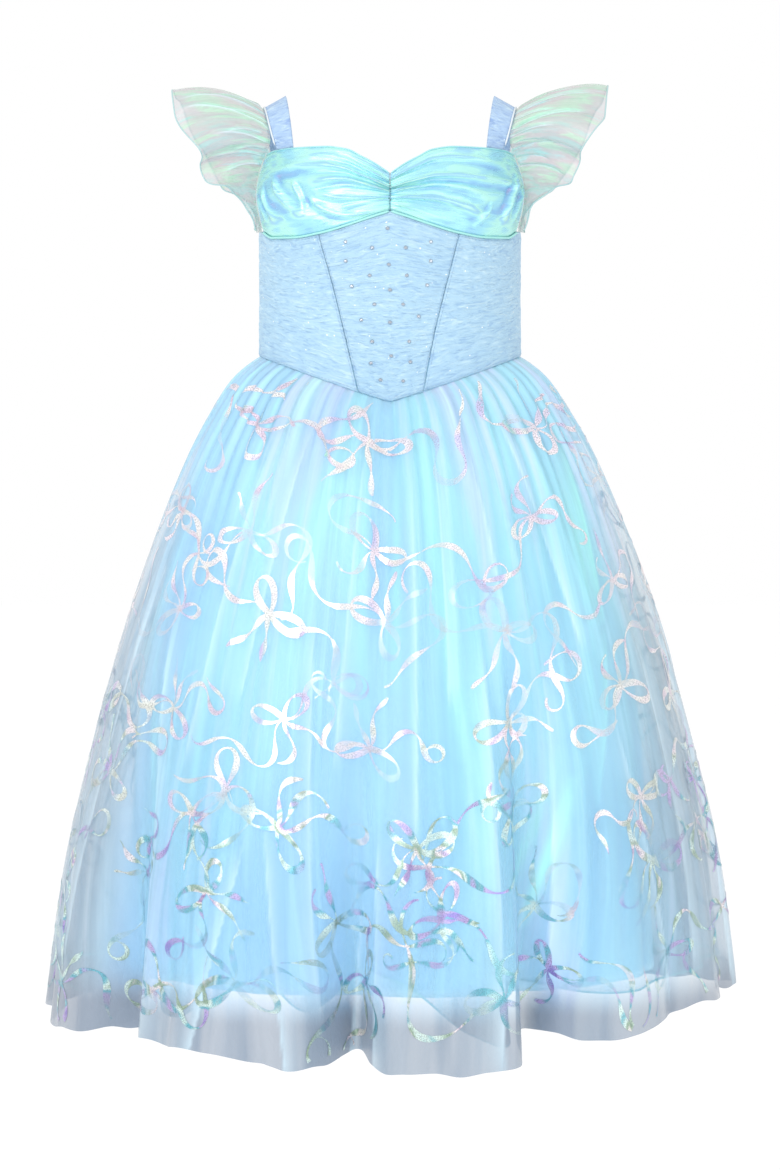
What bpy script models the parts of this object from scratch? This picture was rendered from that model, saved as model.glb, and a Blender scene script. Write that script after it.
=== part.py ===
"""Child's princess costume dress, filled out with no wearer in it.

A fitted bodice with draped sweetheart cups, a basque point at the waist, two straps with wing
ruffles, and a gathered skirt of three layers: a sheer overskirt, a thin film layer and a lining.
Metres, X to the viewer's right, the front looks to -Y, +Z up, nought at the top of the straps.
"""
from collections import namedtuple

import bpy
import numpy as np

# Walls and seams
SHEER_WALL = 0.0012
FILM_WALL = 0.0011
LINING_WALL = 0.0012
PANEL_WALL = 0.0016
CUP_WALL = 0.0018
STRAP_WALL = 0.0016
RUFFLE_WALL = 0.0012
SEAM_GAP = 0.0003

# Waist and point of the bodice
WAIST_SIDE = -0.2160
WAIST_POINT_DROP = 0.0380
GATHERS_ALL_ROUND = 64
GATHER_DEPTH = 0.0018

# Skirt
HEM_HEIGHT = -0.7850
FILM_INSET_WAIST = 0.0042
FILM_INSET_HEM = 0.0120
LINING_HEM = -0.7420
FOLD_HEM_LIFT = 0.0350

# Straps and cups
STRAP_WIDTH = 0.0180
STRAP_FOOT_ANGLE = 54.0
STRAP_TILT = 0.0050
CUP_FULLNESS = 0.0032
CUP_DRAPE_DEPTH = 0.0014
CUP_DRAPES = 5
RUFFLE_WAVES = 7
RUFFLE_WAVE_DEPTH = 0.0050

# Sections of the torso from the chest down
Ring = namedtuple("Ring", "at half_width front back")
TORSO = (
    Ring(-0.270, 0.1128, 0.0835, 0.0800),
    Ring(-0.216, 0.1125, 0.0830, 0.0800),
    Ring(-0.160, 0.1120, 0.0845, 0.0785),
    Ring(-0.110, 0.1122, 0.0865, 0.0780),
    Ring(-0.076, 0.1135, 0.0855, 0.0770),
    Ring(-0.045, 0.1100, 0.0800, 0.0740),
    Ring(-0.030, 0.1080, 0.0760, 0.0720),
)

# Sections of the overskirt by the share of the way down from waist seam to hem
OVERSKIRT = (
    Ring(0.000, 0.1145, 0.0855, 0.0825),
    Ring(0.030, 0.1320, 0.1010, 0.0980),
    Ring(0.080, 0.1510, 0.1180, 0.1150),
    Ring(0.150, 0.1730, 0.1370, 0.1340),
    Ring(0.250, 0.1970, 0.1590, 0.1550),
    Ring(0.400, 0.2270, 0.1860, 0.1820),
    Ring(0.600, 0.2590, 0.2150, 0.2110),
    Ring(0.800, 0.2850, 0.2380, 0.2330),
    Ring(1.000, 0.3000, 0.2520, 0.2460),
)

# Shares of the way down where the walls of the skirt have their rings
SKIRT_ROWS = (0.0, 0.04, 0.10, 0.20, 0.34, 0.48, 0.62, 0.75, 0.88, 1.0)
LINING_ROWS = (0.0, 0.05, 0.13, 0.28, 0.50, 0.75, 1.0)

# Sections of the lining by the share of its own way down
LINING = (
    Ring(0.000, 0.1086, 0.0796, 0.0766),
    Ring(0.100, 0.1440, 0.1090, 0.1070),
    Ring(0.250, 0.1770, 0.1330, 0.1320),
    Ring(0.500, 0.2080, 0.1530, 0.1550),
    Ring(0.750, 0.2230, 0.1620, 0.1650),
    Ring(1.000, 0.2300, 0.1660, 0.1700),
)

# Folds of the skirt, in degrees from the front, turning towards the viewer's right. Each has its
# place at the waist and at the hem, the share of the way down where it starts, the share of the
# radius it takes in at the hem, and its reach to the left and to the right
Fold = namedtuple("Fold", "waist hem start depth left right")
FOLDS = (
    Fold(-84.0, -82.0, 0.55, 0.060, 5.0, 5.0),
    Fold(-51.0, -55.0, 0.40, 0.170, 4.0, 8.0),
    Fold(-29.0, -40.0, 0.62, 0.035, 4.0, 4.0),
    Fold(-27.5, -20.5, 0.62, 0.035, 3.5, 3.5),
    Fold(-5.5, -7.0, 0.50, 0.240, 4.5, 5.0),
    Fold(24.5, 26.0, 0.38, 0.210, 3.4, 8.0),
    Fold(52.0, 54.0, 0.50, 0.040, 5.0, 6.0),
    Fold(73.0, 76.0, 0.45, 0.050, 5.0, 5.0),
    Fold(94.0, 99.0, 0.50, 0.140, 6.0, 6.0),
    Fold(118.0, 123.0, 0.40, 0.190, 6.0, 7.0),
    Fold(146.0, 145.0, 0.45, 0.170, 6.0, 6.0),
    Fold(168.0, 172.0, 0.35, 0.210, 6.5, 5.5),
    Fold(197.0, 199.0, 0.50, 0.170, 5.5, 6.0),
    Fold(222.0, 226.0, 0.40, 0.210, 6.0, 7.0),
    Fold(249.0, 252.0, 0.45, 0.160, 6.0, 6.0),
)

# How far each place on the hem lies above the hem height
Lift = namedtuple("Lift", "angle overskirt film")
HEM = (
    Lift(-90.0, 0.006, 0.046),
    Lift(-60.0, 0.006, 0.036),
    Lift(-42.0, 0.008, 0.026),
    Lift(-30.0, 0.008, 0.050),
    Lift(-22.0, 0.001, 0.066),
    Lift(-14.0, -0.003, 0.040),
    Lift(-5.0, -0.004, 0.064),
    Lift(1.0, -0.005, 0.066),
    Lift(13.0, -0.005, 0.026),
    Lift(21.0, -0.003, 0.012),
    Lift(27.0, 0.012, 0.052),
    Lift(37.0, 0.012, 0.048),
    Lift(50.0, 0.022, 0.050),
    Lift(65.0, 0.032, 0.056),
    Lift(90.0, 0.027, 0.056),
    Lift(120.0, 0.012, 0.040),
    Lift(150.0, 0.004, 0.052),
    Lift(180.0, 0.003, 0.036),
    Lift(210.0, 0.006, 0.054),
    Lift(240.0, 0.004, 0.038),
    Lift(270.0, 0.006, 0.046),
)

# Seams between the centre panel and the side panels, as angles from the front
Seam = namedtuple("Seam", "height left right")
PANEL_SEAMS = (
    Seam(-0.262, -12.0, 13.0),
    Seam(-0.240, -14.5, 15.0),
    Seam(-0.197, -20.0, 19.5),
    Seam(-0.157, -25.5, 25.0),
    Seam(-0.117, -32.0, 31.0),
    Seam(-0.100, -34.5, 33.5),
)

# Upper and lower edges of a cup from the centre seam to the armhole
Edge = namedtuple("Edge", "angle top bottom")
CUP_EDGES = (
    Edge(0.0, -0.0640, -0.0957),
    Edge(7.0, -0.0550, -0.1000),
    Edge(12.5, -0.0495, -0.1035),
    Edge(19.0, -0.0435, -0.1075),
    Edge(30.0, -0.0408, -0.1130),
    Edge(46.0, -0.0412, -0.1168),
    Edge(62.0, -0.0425, -0.1165),
    Edge(72.0, -0.0450, -0.1120),
    Edge(80.0, -0.0480, -0.1100),
    Edge(90.0, -0.0500, -0.1100),
)

# Upper edge of the back panel from the side seam to the middle of the back
Rim = namedtuple("Rim", "angle height")
BACK_EDGE = (
    Rim(90.0, -0.1105),
    Rim(102.0, -0.1085),
    Rim(110.0, -0.0960),
    Rim(115.0, -0.0790),
    Rim(119.0, -0.0675),
    Rim(124.0, -0.0655),
    Rim(180.0, -0.0655),
)

# The wing ruffle along the armhole, from the front underarm over the shoulder to the back one:
# how far its free edge stands out, forward and up from its seam, and how much it arches between
Wing = namedtuple("Wing", "along out forward up arch")
RUFFLE = (
    Wing(0.00, 0.0040, 0.0030, 0.0000, 0.000),
    Wing(0.08, 0.0080, 0.0060, 0.0010, 0.000),
    Wing(0.13, 0.0220, 0.0130, 0.0000, 0.001),
    Wing(0.20, 0.0450, 0.0200, -0.0110, 0.004),
    Wing(0.30, 0.0580, 0.0200, -0.0080, 0.007),
    Wing(0.40, 0.0770, 0.0140, 0.0050, 0.009),
    Wing(0.48, 0.0760, 0.0020, 0.0140, 0.009),
    Wing(0.57, 0.0730, -0.0120, 0.0130, 0.008),
    Wing(0.68, 0.0620, -0.0180, 0.0040, 0.007),
    Wing(0.78, 0.0450, -0.0200, -0.0080, 0.004),
    Wing(0.86, 0.0220, -0.0130, 0.0000, 0.001),
    Wing(0.93, 0.0080, -0.0060, 0.0010, 0.000),
    Wing(1.00, 0.0040, -0.0030, 0.0000, 0.000),
)


def curve(rows, key, value, at):
    """Smooth curve through a table's column: cubics that never overshoot their points."""
    xs = np.array([getattr(row, key) for row in rows])
    ys = np.array([getattr(row, value) for row in rows])
    step = np.diff(xs)
    slope = np.diff(ys) / step
    product = slope[:-1] * slope[1:]
    total = np.where(product > 0, slope[:-1] + slope[1:], 1.0)
    inner = np.where(product > 0, 2 * product / total, 0.0)
    tangent = np.concatenate([slope[:1], inner, slope[-1:]])
    at = np.clip(at, xs[0], xs[-1])
    k = np.clip(np.searchsorted(xs, at, side="right") - 1, 0, len(step) - 1)
    f = (at - xs[k]) / step[k]
    start = (1 + 2 * f) * (1 - f) ** 2 * ys[k] + f * (1 - f) ** 2 * step[k] * tangent[k]
    end = f * f * (3 - 2 * f) * ys[k + 1] - f * f * (1 - f) * step[k] * tangent[k + 1]
    return start + end


def ease(x):
    """Nought to one with level ends."""
    x = np.clip(x, 0.0, 1.0)
    return x * x * (3 - 2 * x)


def on_ring(rows, at, angle):
    """Point of an oval section: half width by the sine, front or back depth by the cosine."""
    turn = np.radians(angle)
    width = curve(rows, "at", "half_width", at)
    front = curve(rows, "at", "front", at)
    back = curve(rows, "at", "back", at)
    depth = np.where(np.cos(turn) > 0, front, back)
    return width * np.sin(turn), -depth * np.cos(turn)


def torso(angle, height, out=0.0):
    """Point on the torso at an angle and a height, moved out by a distance."""
    x, y = on_ring(TORSO, height, angle)
    length = np.hypot(x, y)
    return np.stack([x * (1 + out / length), y * (1 + out / length), height + 0 * x], axis=-1)


def waist_height(angle):
    """Waist seam: level round the back, a straight-sided point at the front."""
    turn = np.radians(angle)
    side = np.abs(np.sin(turn))
    drop = WAIST_POINT_DROP * (1 - side ** 1.1)
    return WAIST_SIDE - np.where(np.cos(turn) > 0, drop, 0.0)


def fold_share(angle, down, reach):
    """Share of the radius that the folds take in: a bell for each, growing towards the hem."""
    total = 0.0
    for fold in FOLDS:
        centre = fold.waist + (fold.hem - fold.waist) * down
        offset = (angle - centre + 180.0) % 360.0 - 180.0
        width = np.where(offset < 0, fold.left, fold.right) * reach
        grown = ease((down - fold.start) / (1 - fold.start)) * 0.6 + 0.4 * np.clip(
            (down - fold.start) / (1 - fold.start), 0.0, 1.0)
        total = total + fold.depth * grown * np.exp(-(offset / width) ** 2)
    return total


def gather(cloth, down):
    """Height of the gathers under the waist seam, fading out on the way down."""
    size = (0.6 + 0.4 * ease(down / 0.06)) * (1 - ease(down / 0.34))
    return GATHER_DEPTH * size * np.cos(np.radians(GATHERS_ALL_ROUND * cloth))


def overskirt_point(cloth, angle, down):
    """Overskirt: oval sections, less the folds, plus the gathers, lowered to its wavy hem."""
    share = fold_share(angle, down, 1.0)
    x, y = on_ring(OVERSKIRT, down, angle)
    grow = 1 - share + gather(cloth, down) / np.hypot(x, y)
    turned = (angle + 90.0) % 360.0 - 90.0
    hem = HEM_HEIGHT + curve(HEM, "angle", "overskirt", turned) + FOLD_HEM_LIFT * share
    top = waist_height(angle) - SEAM_GAP
    return np.stack([x * grow, y * grow, top + (hem - top) * down], axis=-1)


def film_point(cloth, angle, down):
    """Film layer: inside the overskirt, with wider folds in the same places and its own hem."""
    share = fold_share(angle, down, 1.3)
    x, y = on_ring(OVERSKIRT, down, angle)
    inset = FILM_INSET_WAIST + 0.3 * FILM_INSET_WAIST * ease(down / 0.04)
    inset = inset + (FILM_INSET_HEM - 1.3 * FILM_INSET_WAIST) * ease(down / 0.25)
    grow = 1 - share - inset / np.hypot(x, y)
    turned = (angle + 90.0) % 360.0 - 90.0
    hem = HEM_HEIGHT + curve(HEM, "angle", "film", turned) + FOLD_HEM_LIFT * share
    top = waist_height(angle) - 3 * SEAM_GAP
    return np.stack([x * grow, y * grow, top + (hem - top) * down], axis=-1)


def lining_point(cloth, angle, down):
    """Lining: a narrower flare with the same folds, wider and softer, and a level hem."""
    share = fold_share(angle, down, 1.5) * 0.35
    x, y = on_ring(LINING, down, angle)
    top = waist_height(angle) - 3 * SEAM_GAP
    return np.stack([x * (1 - share), y * (1 - share), top + (LINING_HEM - top) * down], axis=-1)


def skirt_half(point, first, last, columns, downs):
    """Half a skirt layer: columns share each ring's length evenly, so deep folds get their own."""
    cloth = np.linspace(first, last, columns + 1)
    dense = np.linspace(first, last, 1081)
    rows = []
    for down in downs:
        trial = point(dense, dense, down)
        steps = np.hypot(np.diff(trial[:, 0]), np.diff(trial[:, 1]))
        length = np.concatenate([[0.0], np.cumsum(steps)])
        even = np.interp(np.linspace(0.0, length[-1], columns + 1), length, dense)
        mixed = cloth + (even - cloth) * ease(down / 0.5)
        rows.append(point(cloth, mixed, down))
    return np.array(rows)


def panel(left, right, bottom, top, columns, rows):
    """Panel of the bodice between two slanting seams, from its lower edge to its upper edge."""
    across = np.linspace(0.0, 1.0, columns + 1)[None, :]
    up = np.linspace(0.0, 1.0, rows + 1)[:, None]
    angle = left(-0.17) + (right(-0.17) - left(-0.17)) * across + 0 * up
    for _ in range(6):
        low = bottom(angle)
        height = low + (top(angle) - low) * up
        angle = left(height) + (right(height) - left(height)) * across
    return torso(angle, height)


def cup_edge(side, turned):
    """Height of a cup's edge by the angle from the front."""
    return curve(CUP_EDGES, "angle", side, np.abs(turned))


def cup_grid(side, columns, rows):
    """A cup from the centre seam to the armhole, full between its edges, draped from the seam."""
    across = np.linspace(0.0, 1.0, columns + 1)[None, :]
    up = np.linspace(0.0, 1.0, rows + 1)[:, None]
    outer = 73.0 + 5.0 * np.sin(np.pi * up)
    start = np.degrees(SEAM_GAP * 0.5 / 0.085)
    angle = start + (outer - start) * across
    low = cup_edge("bottom", angle) + 2 * SEAM_GAP
    height = low + (cup_edge("top", angle) - low) * up
    swell = CUP_FULLNESS * np.sin(np.pi * up) * (0.35 + 0.65 * ease(across * 2.0))
    drape = CUP_DRAPE_DEPTH * np.sin(np.pi * up) * np.cos(2 * np.pi * CUP_DRAPES * up)
    fan = (1 - across) * ease(across * 6.0) + 0.25 * across
    return torso(side * angle, height, swell + drape * fan)


def strap_grid(side, columns, rows):
    """A strap over the shoulder: an arch from the cup's edge to the back panel's edge."""
    along = np.linspace(0.0, 1.0, rows + 1)[:, None]
    across = np.linspace(-0.5, 0.5, columns + 1)[None, :]
    foot = torso(STRAP_FOOT_ANGLE, cup_edge("top", STRAP_FOOT_ANGLE) + SEAM_GAP)
    heel = torso(180.0 - STRAP_FOOT_ANGLE, BACK_EDGE[-1].height + SEAM_GAP)
    rise = np.where(along < 0.42, along / 0.42, (1 - along) / 0.58)
    base = np.where(along < 0.42, foot[2], heel[2])
    height = base * (1 - np.sin(np.pi / 2 * rise))
    back = foot[1] + (heel[1] - foot[1]) * (0.5 - 0.5 * np.cos(np.pi * along))
    bow = foot[0] + (heel[0] - foot[0]) * along + 0.0085 * np.sin(np.pi * along)
    level = np.sin(np.pi / 2 * rise)
    lean = 0.62 * (1 - level)
    wide = STRAP_WIDTH * across
    x = bow + wide * np.sqrt(1 - lean ** 2)
    y = back + wide * lean * np.where(along < 0.42, 1.0, -1.0)
    z = height - STRAP_TILT * across * level * 2 + 0 * across
    foot_line = cup_edge("top", np.degrees(np.arcsin(np.clip(x / 0.1085, -1, 1)))) + SEAM_GAP
    z = np.where(along < 0.42, z + (foot_line - foot[2]) * (1 - level) ** 2, z)
    return np.stack([side * x, y, z], axis=-1)


def armhole_path(side, count):
    """Seam of the wing ruffle: cup edge, strap edge, back edge, a little outside them."""
    cup = cup_grid(side, 16, 12)[:, -1]
    strap = strap_grid(side, 4, 24)[1:-1, -1]
    angle = np.linspace(117.0, 97.0, 9)
    height = curve(BACK_EDGE, "angle", "height", angle)
    back = torso(side * angle, height)
    line = np.concatenate([cup, strap, back])
    steps = np.linalg.norm(np.diff(line, axis=0), axis=1)
    length = np.concatenate([[0.0], np.cumsum(steps)])
    even = np.linspace(0.0, length[-1], count + 1)
    path = np.stack([np.interp(even, length, line[:, k]) for k in range(3)], axis=-1)
    for _ in range(3):
        path[1:-1] = 0.5 * path[1:-1] + 0.25 * (path[:-2] + path[2:])
    return path


def ruffle_grid(side, columns, rows):
    """A wing ruffle: from the armhole seam out to its waved free edge, arched over the arm."""
    path = armhole_path(side, columns)
    along = np.linspace(0.0, 1.0, columns + 1)[None, :]
    out = np.linspace(0.0, 1.0, rows + 1)[:, None]
    reach = np.stack([
        side * curve(RUFFLE, "along", "out", along),
        -curve(RUFFLE, "along", "forward", along),
        curve(RUFFLE, "along", "up", along),
    ], axis=-1)
    size = np.linalg.norm(reach, axis=-1, keepdims=True)
    clear = 0.5 * RUFFLE_WALL + SEAM_GAP + 0.0009
    start = path[None, :, :] + reach / size * clear
    flat = start + reach * out[..., None]
    flat[..., 2] += 4 * out * (1 - out) * curve(RUFFLE, "along", "arch", along)
    away = normals(flat)
    wave = np.cos(2 * np.pi * RUFFLE_WAVES * along + 0.7 * side)
    height = RUFFLE_WAVE_DEPTH * wave * out ** 1.3 * np.sin(np.pi * along) ** 0.7
    return flat + away * height[..., None]


def unit(vectors):
    """Vectors at a length of one."""
    return vectors / np.linalg.norm(vectors, axis=-1, keepdims=True)


def around(cells):
    """Sum of the four cells that meet at each point of a grid, the edge cells counted twice."""
    wide = np.pad(cells, ((1, 1), (1, 1), (0, 0)), mode="edge")
    return wide[:-1, :-1] + wide[:-1, 1:] + wide[1:, :-1] + wide[1:, 1:]


def cell_normals(grid):
    """Unit normal of each cell, from its two diagonals."""
    return unit(np.cross(grid[1:, 1:] - grid[:-1, :-1], grid[1:, :-1] - grid[:-1, 1:]))


def normals(grid):
    """Unit normal at each point of a grid: the mean of the cells that meet there."""
    return unit(around(cell_normals(grid)))


def volume(points, faces):
    """Signed volume of a closed mesh of triangles."""
    a, b, c = (points[faces[:, k]] for k in range(3))
    return np.einsum("ij,ij->i", a, np.cross(b, c)).sum() / 6.0


def finish(colour, roughness, name):
    """Plain material of one piece."""
    material = bpy.data.materials.new(name)
    material.use_nodes = True
    shader = material.node_tree.nodes["Principled BSDF"]
    shader.inputs["Base Color"].default_value = (*colour, 1.0)
    shader.inputs["Roughness"].default_value = roughness
    shader.inputs["Metallic"].default_value = 0.0
    return material


def wall(name, grid, thickness, inward, colour, roughness=0.6, side_seams=()):
    """Closed wall of cloth: the grid is its outer face, and the inner one is moved along normals.

    Each cell is cut along its shorter diagonal, alike on both faces. The columns that lie on a
    side seam, between front and back, have their wall cut along it.
    """
    away = normals(grid)
    for column in side_seams:
        away[:, column, 1] = 0.0
    away = unit(away)
    facing = around(cell_normals(grid)) / 4
    slant = np.clip(np.abs((facing * away).sum(axis=-1, keepdims=True)), 0.7, 1.0)
    inner = grid + away * thickness / slant * inward
    rows, columns = grid.shape[:2]
    count = rows * columns
    points = np.concatenate([grid.reshape(-1, 3), inner.reshape(-1, 3)])
    index = np.arange(count).reshape(rows, columns)
    a, b = index[:-1, :-1].ravel(), index[:-1, 1:].ravel()
    c, d = index[1:, 1:].ravel(), index[1:, :-1].ravel()
    falling = np.linalg.norm(points[a] - points[c], axis=-1)
    rising = np.linalg.norm(points[b] - points[d], axis=-1)
    short = (falling <= rising)[:, None]
    first = np.where(short, np.stack([a, b, c], axis=-1), np.stack([a, b, d], axis=-1))
    second = np.where(short, np.stack([a, c, d], axis=-1), np.stack([b, c, d], axis=-1))
    outer_faces = np.concatenate([first, second])
    inner_faces = outer_faces[:, ::-1] + count
    border = np.concatenate([index[0, :], index[1:, -1], index[-1, -2::-1], index[-2:0:-1, 0]])
    after = np.roll(border, -1)
    rim_first = np.stack([after, border, border + count], axis=-1)
    rim_second = np.stack([after, border + count, after + count], axis=-1)
    faces = np.concatenate([outer_faces, inner_faces, rim_first, rim_second])
    if volume(points, faces) < 0:
        faces = faces[:, ::-1]
    mesh = bpy.data.meshes.new(name)
    mesh.from_pydata(points.tolist(), [], faces.tolist())
    mesh.materials.append(finish(colour, roughness, name))
    piece = bpy.data.objects.new(name, mesh)
    bpy.context.scene.collection.objects.link(piece)
    return piece


def left_seam(height):
    """Angle of the seam at the centre panel's left."""
    return curve(PANEL_SEAMS, "height", "left", height)


def right_seam(height):
    """Angle of the seam at the centre panel's right."""
    return curve(PANEL_SEAMS, "height", "right", height)


def build_bodice():
    """Three front panels, the back panel, two cups and two straps."""
    gap = np.degrees(SEAM_GAP * 0.5 / 0.090)
    blue = (0.50, 0.74, 0.88)

    def under_cup(angle):
        return cup_edge("bottom", angle)

    wall("centre_front", panel(
        lambda h: left_seam(h) + gap, lambda h: right_seam(h) - gap,
        waist_height, under_cup, 12, 5), PANEL_WALL, -1, blue)
    wall("side_front_left", panel(
        lambda h: -90.0 + gap + 0 * h, lambda h: left_seam(h) - gap,
        waist_height, under_cup, 8, 5), PANEL_WALL, -1, blue, 0.6, (0,))
    wall("side_front_right", panel(
        lambda h: right_seam(h) + gap, lambda h: 90.0 - gap + 0 * h,
        waist_height, under_cup, 8, 5), PANEL_WALL, -1, blue, 0.6, (-1,))

    def back_top(angle):
        return curve(BACK_EDGE, "angle", "height", 180.0 - np.abs(180.0 - angle))

    wall("back_panel", panel(
        lambda h: 90.0 + gap + 0 * h, lambda h: 270.0 - gap + 0 * h,
        waist_height, back_top, 28, 5), PANEL_WALL, -1, blue, 0.6, (0, -1))
    for side, word in ((-1, "left"), (1, "right")):
        wall(f"cup_{word}", cup_grid(side, 12, 11), CUP_WALL, -side, (0.42, 0.80, 0.86), 0.35)
        wall(f"strap_{word}", strap_grid(side, 2, 18), STRAP_WALL, -side, blue)
        wall(f"sleeve_{word}", ruffle_grid(side, 42, 5), RUFFLE_WALL, -side, (0.62, 0.74, 0.82))


def build_skirt():
    """Overskirt, film layer and lining, each a front and a back that meet at the side seams."""
    gap = np.degrees(SEAM_GAP * 0.5 / 0.105)
    layers = (
        ("overskirt", overskirt_point, 64, SKIRT_ROWS, SHEER_WALL, (0.48, 0.62, 0.76)),
        ("film_layer", film_point, 44, SKIRT_ROWS, FILM_WALL, (0.40, 0.74, 0.76)),
        ("lining", lining_point, 32, LINING_ROWS, LINING_WALL, (0.36, 0.66, 0.88)),
    )
    for name, point, columns, downs, thickness, colour in layers:
        front = skirt_half(point, -90.0 + gap, 90.0 - gap, columns, downs)
        back = skirt_half(point, 90.0 + gap, 270.0 - gap, columns, downs)
        wall(f"{name}_front", front, thickness, 1, colour, 0.4, (0, -1))
        wall(f"{name}_back", back, thickness, 1, colour, 0.4, (0, -1))


for old in list(bpy.data.objects):
    bpy.data.objects.remove(old)
build_bodice()
build_skirt()
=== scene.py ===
"""Looks of the child's princess costume dress: fine cloth, foil bows, stones, piping and light.

Each cloth is the same surface as its solid, worked out on a finer grid. Metres, front to -Y.
"""
import math
from collections import namedtuple

import bpy
import numpy as np
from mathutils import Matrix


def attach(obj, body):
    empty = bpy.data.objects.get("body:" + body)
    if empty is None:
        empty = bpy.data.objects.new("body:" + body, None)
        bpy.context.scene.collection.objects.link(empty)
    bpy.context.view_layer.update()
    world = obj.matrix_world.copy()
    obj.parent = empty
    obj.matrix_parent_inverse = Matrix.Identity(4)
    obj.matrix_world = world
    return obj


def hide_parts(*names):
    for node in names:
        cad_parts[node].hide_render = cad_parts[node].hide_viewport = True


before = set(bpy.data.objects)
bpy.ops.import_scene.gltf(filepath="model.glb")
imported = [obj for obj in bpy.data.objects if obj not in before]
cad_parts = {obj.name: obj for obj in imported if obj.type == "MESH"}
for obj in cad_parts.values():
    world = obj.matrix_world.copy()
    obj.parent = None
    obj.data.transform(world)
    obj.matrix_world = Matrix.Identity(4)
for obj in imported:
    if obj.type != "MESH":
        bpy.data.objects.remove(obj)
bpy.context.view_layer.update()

# Sizes shared with the solids
SEAM_GAP = 0.0003
WAIST_SIDE = -0.2160
WAIST_POINT_DROP = 0.0380
GATHERS_ALL_ROUND = 64
GATHER_DEPTH = 0.0016
HEM_HEIGHT = -0.7850
FILM_INSET_WAIST = 0.0042
FILM_INSET_HEM = 0.0120
LINING_HEM = -0.7420
FOLD_HEM_LIFT = 0.0350
STRAP_WIDTH = 0.0180
STRAP_FOOT_ANGLE = 54.0
STRAP_TILT = 0.0050
CUP_FULLNESS = 0.0032
RUFFLE_WAVES = 7
RUFFLE_WAVE_DEPTH = 0.0050

# How much more light falls on the front of the dress than on plain white paper
STUDIO_LIGHT = 1.22

Ring = namedtuple("Ring", "at half_width front back")
TORSO = (
    Ring(-0.270, 0.1128, 0.0835, 0.0800),
    Ring(-0.216, 0.1125, 0.0830, 0.0800),
    Ring(-0.160, 0.1120, 0.0845, 0.0785),
    Ring(-0.110, 0.1122, 0.0865, 0.0780),
    Ring(-0.076, 0.1135, 0.0855, 0.0770),
    Ring(-0.045, 0.1100, 0.0800, 0.0740),
    Ring(-0.030, 0.1080, 0.0760, 0.0720),
)
OVERSKIRT = (
    Ring(0.000, 0.1145, 0.0855, 0.0825),
    Ring(0.030, 0.1320, 0.1010, 0.0980),
    Ring(0.080, 0.1510, 0.1180, 0.1150),
    Ring(0.150, 0.1730, 0.1370, 0.1340),
    Ring(0.250, 0.1970, 0.1590, 0.1550),
    Ring(0.400, 0.2270, 0.1860, 0.1820),
    Ring(0.600, 0.2590, 0.2150, 0.2110),
    Ring(0.800, 0.2850, 0.2380, 0.2330),
    Ring(1.000, 0.3000, 0.2520, 0.2460),
)
LINING = (
    Ring(0.000, 0.1086, 0.0796, 0.0766),
    Ring(0.100, 0.1440, 0.1090, 0.1070),
    Ring(0.250, 0.1770, 0.1330, 0.1320),
    Ring(0.500, 0.2080, 0.1530, 0.1550),
    Ring(0.750, 0.2230, 0.1620, 0.1650),
    Ring(1.000, 0.2300, 0.1660, 0.1700),
)

Fold = namedtuple("Fold", "waist hem start depth left right")
FOLDS = (
    Fold(-84.0, -82.0, 0.55, 0.060, 5.0, 5.0),
    Fold(-51.0, -55.0, 0.40, 0.170, 4.0, 8.0),
    Fold(-29.0, -40.0, 0.62, 0.035, 4.0, 4.0),
    Fold(-27.5, -20.5, 0.62, 0.035, 3.5, 3.5),
    Fold(-5.5, -7.0, 0.50, 0.240, 4.5, 5.0),
    Fold(24.5, 26.0, 0.38, 0.210, 3.4, 8.0),
    Fold(52.0, 54.0, 0.50, 0.040, 5.0, 6.0),
    Fold(73.0, 76.0, 0.45, 0.050, 5.0, 5.0),
    Fold(94.0, 99.0, 0.50, 0.140, 6.0, 6.0),
    Fold(118.0, 123.0, 0.40, 0.190, 6.0, 7.0),
    Fold(146.0, 145.0, 0.45, 0.170, 6.0, 6.0),
    Fold(168.0, 172.0, 0.35, 0.210, 6.5, 5.5),
    Fold(197.0, 199.0, 0.50, 0.170, 5.5, 6.0),
    Fold(222.0, 226.0, 0.40, 0.210, 6.0, 7.0),
    Fold(249.0, 252.0, 0.45, 0.160, 6.0, 6.0),
)

Lift = namedtuple("Lift", "angle overskirt film")
HEM = (
    Lift(-90.0, 0.006, 0.046),
    Lift(-60.0, 0.006, 0.036),
    Lift(-42.0, 0.008, 0.026),
    Lift(-30.0, 0.008, 0.050),
    Lift(-22.0, 0.001, 0.066),
    Lift(-14.0, -0.003, 0.040),
    Lift(-5.0, -0.004, 0.064),
    Lift(1.0, -0.005, 0.066),
    Lift(13.0, -0.005, 0.026),
    Lift(21.0, -0.003, 0.012),
    Lift(27.0, 0.012, 0.052),
    Lift(37.0, 0.012, 0.048),
    Lift(50.0, 0.022, 0.050),
    Lift(65.0, 0.032, 0.056),
    Lift(90.0, 0.027, 0.056),
    Lift(120.0, 0.012, 0.040),
    Lift(150.0, 0.004, 0.052),
    Lift(180.0, 0.003, 0.036),
    Lift(210.0, 0.006, 0.054),
    Lift(240.0, 0.004, 0.038),
    Lift(270.0, 0.006, 0.046),
)

Seam = namedtuple("Seam", "height left right")
PANEL_SEAMS = (
    Seam(-0.262, -12.0, 13.0),
    Seam(-0.240, -14.5, 15.0),
    Seam(-0.197, -20.0, 19.5),
    Seam(-0.157, -25.5, 25.0),
    Seam(-0.117, -32.0, 31.0),
    Seam(-0.100, -34.5, 33.5),
)

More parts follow.
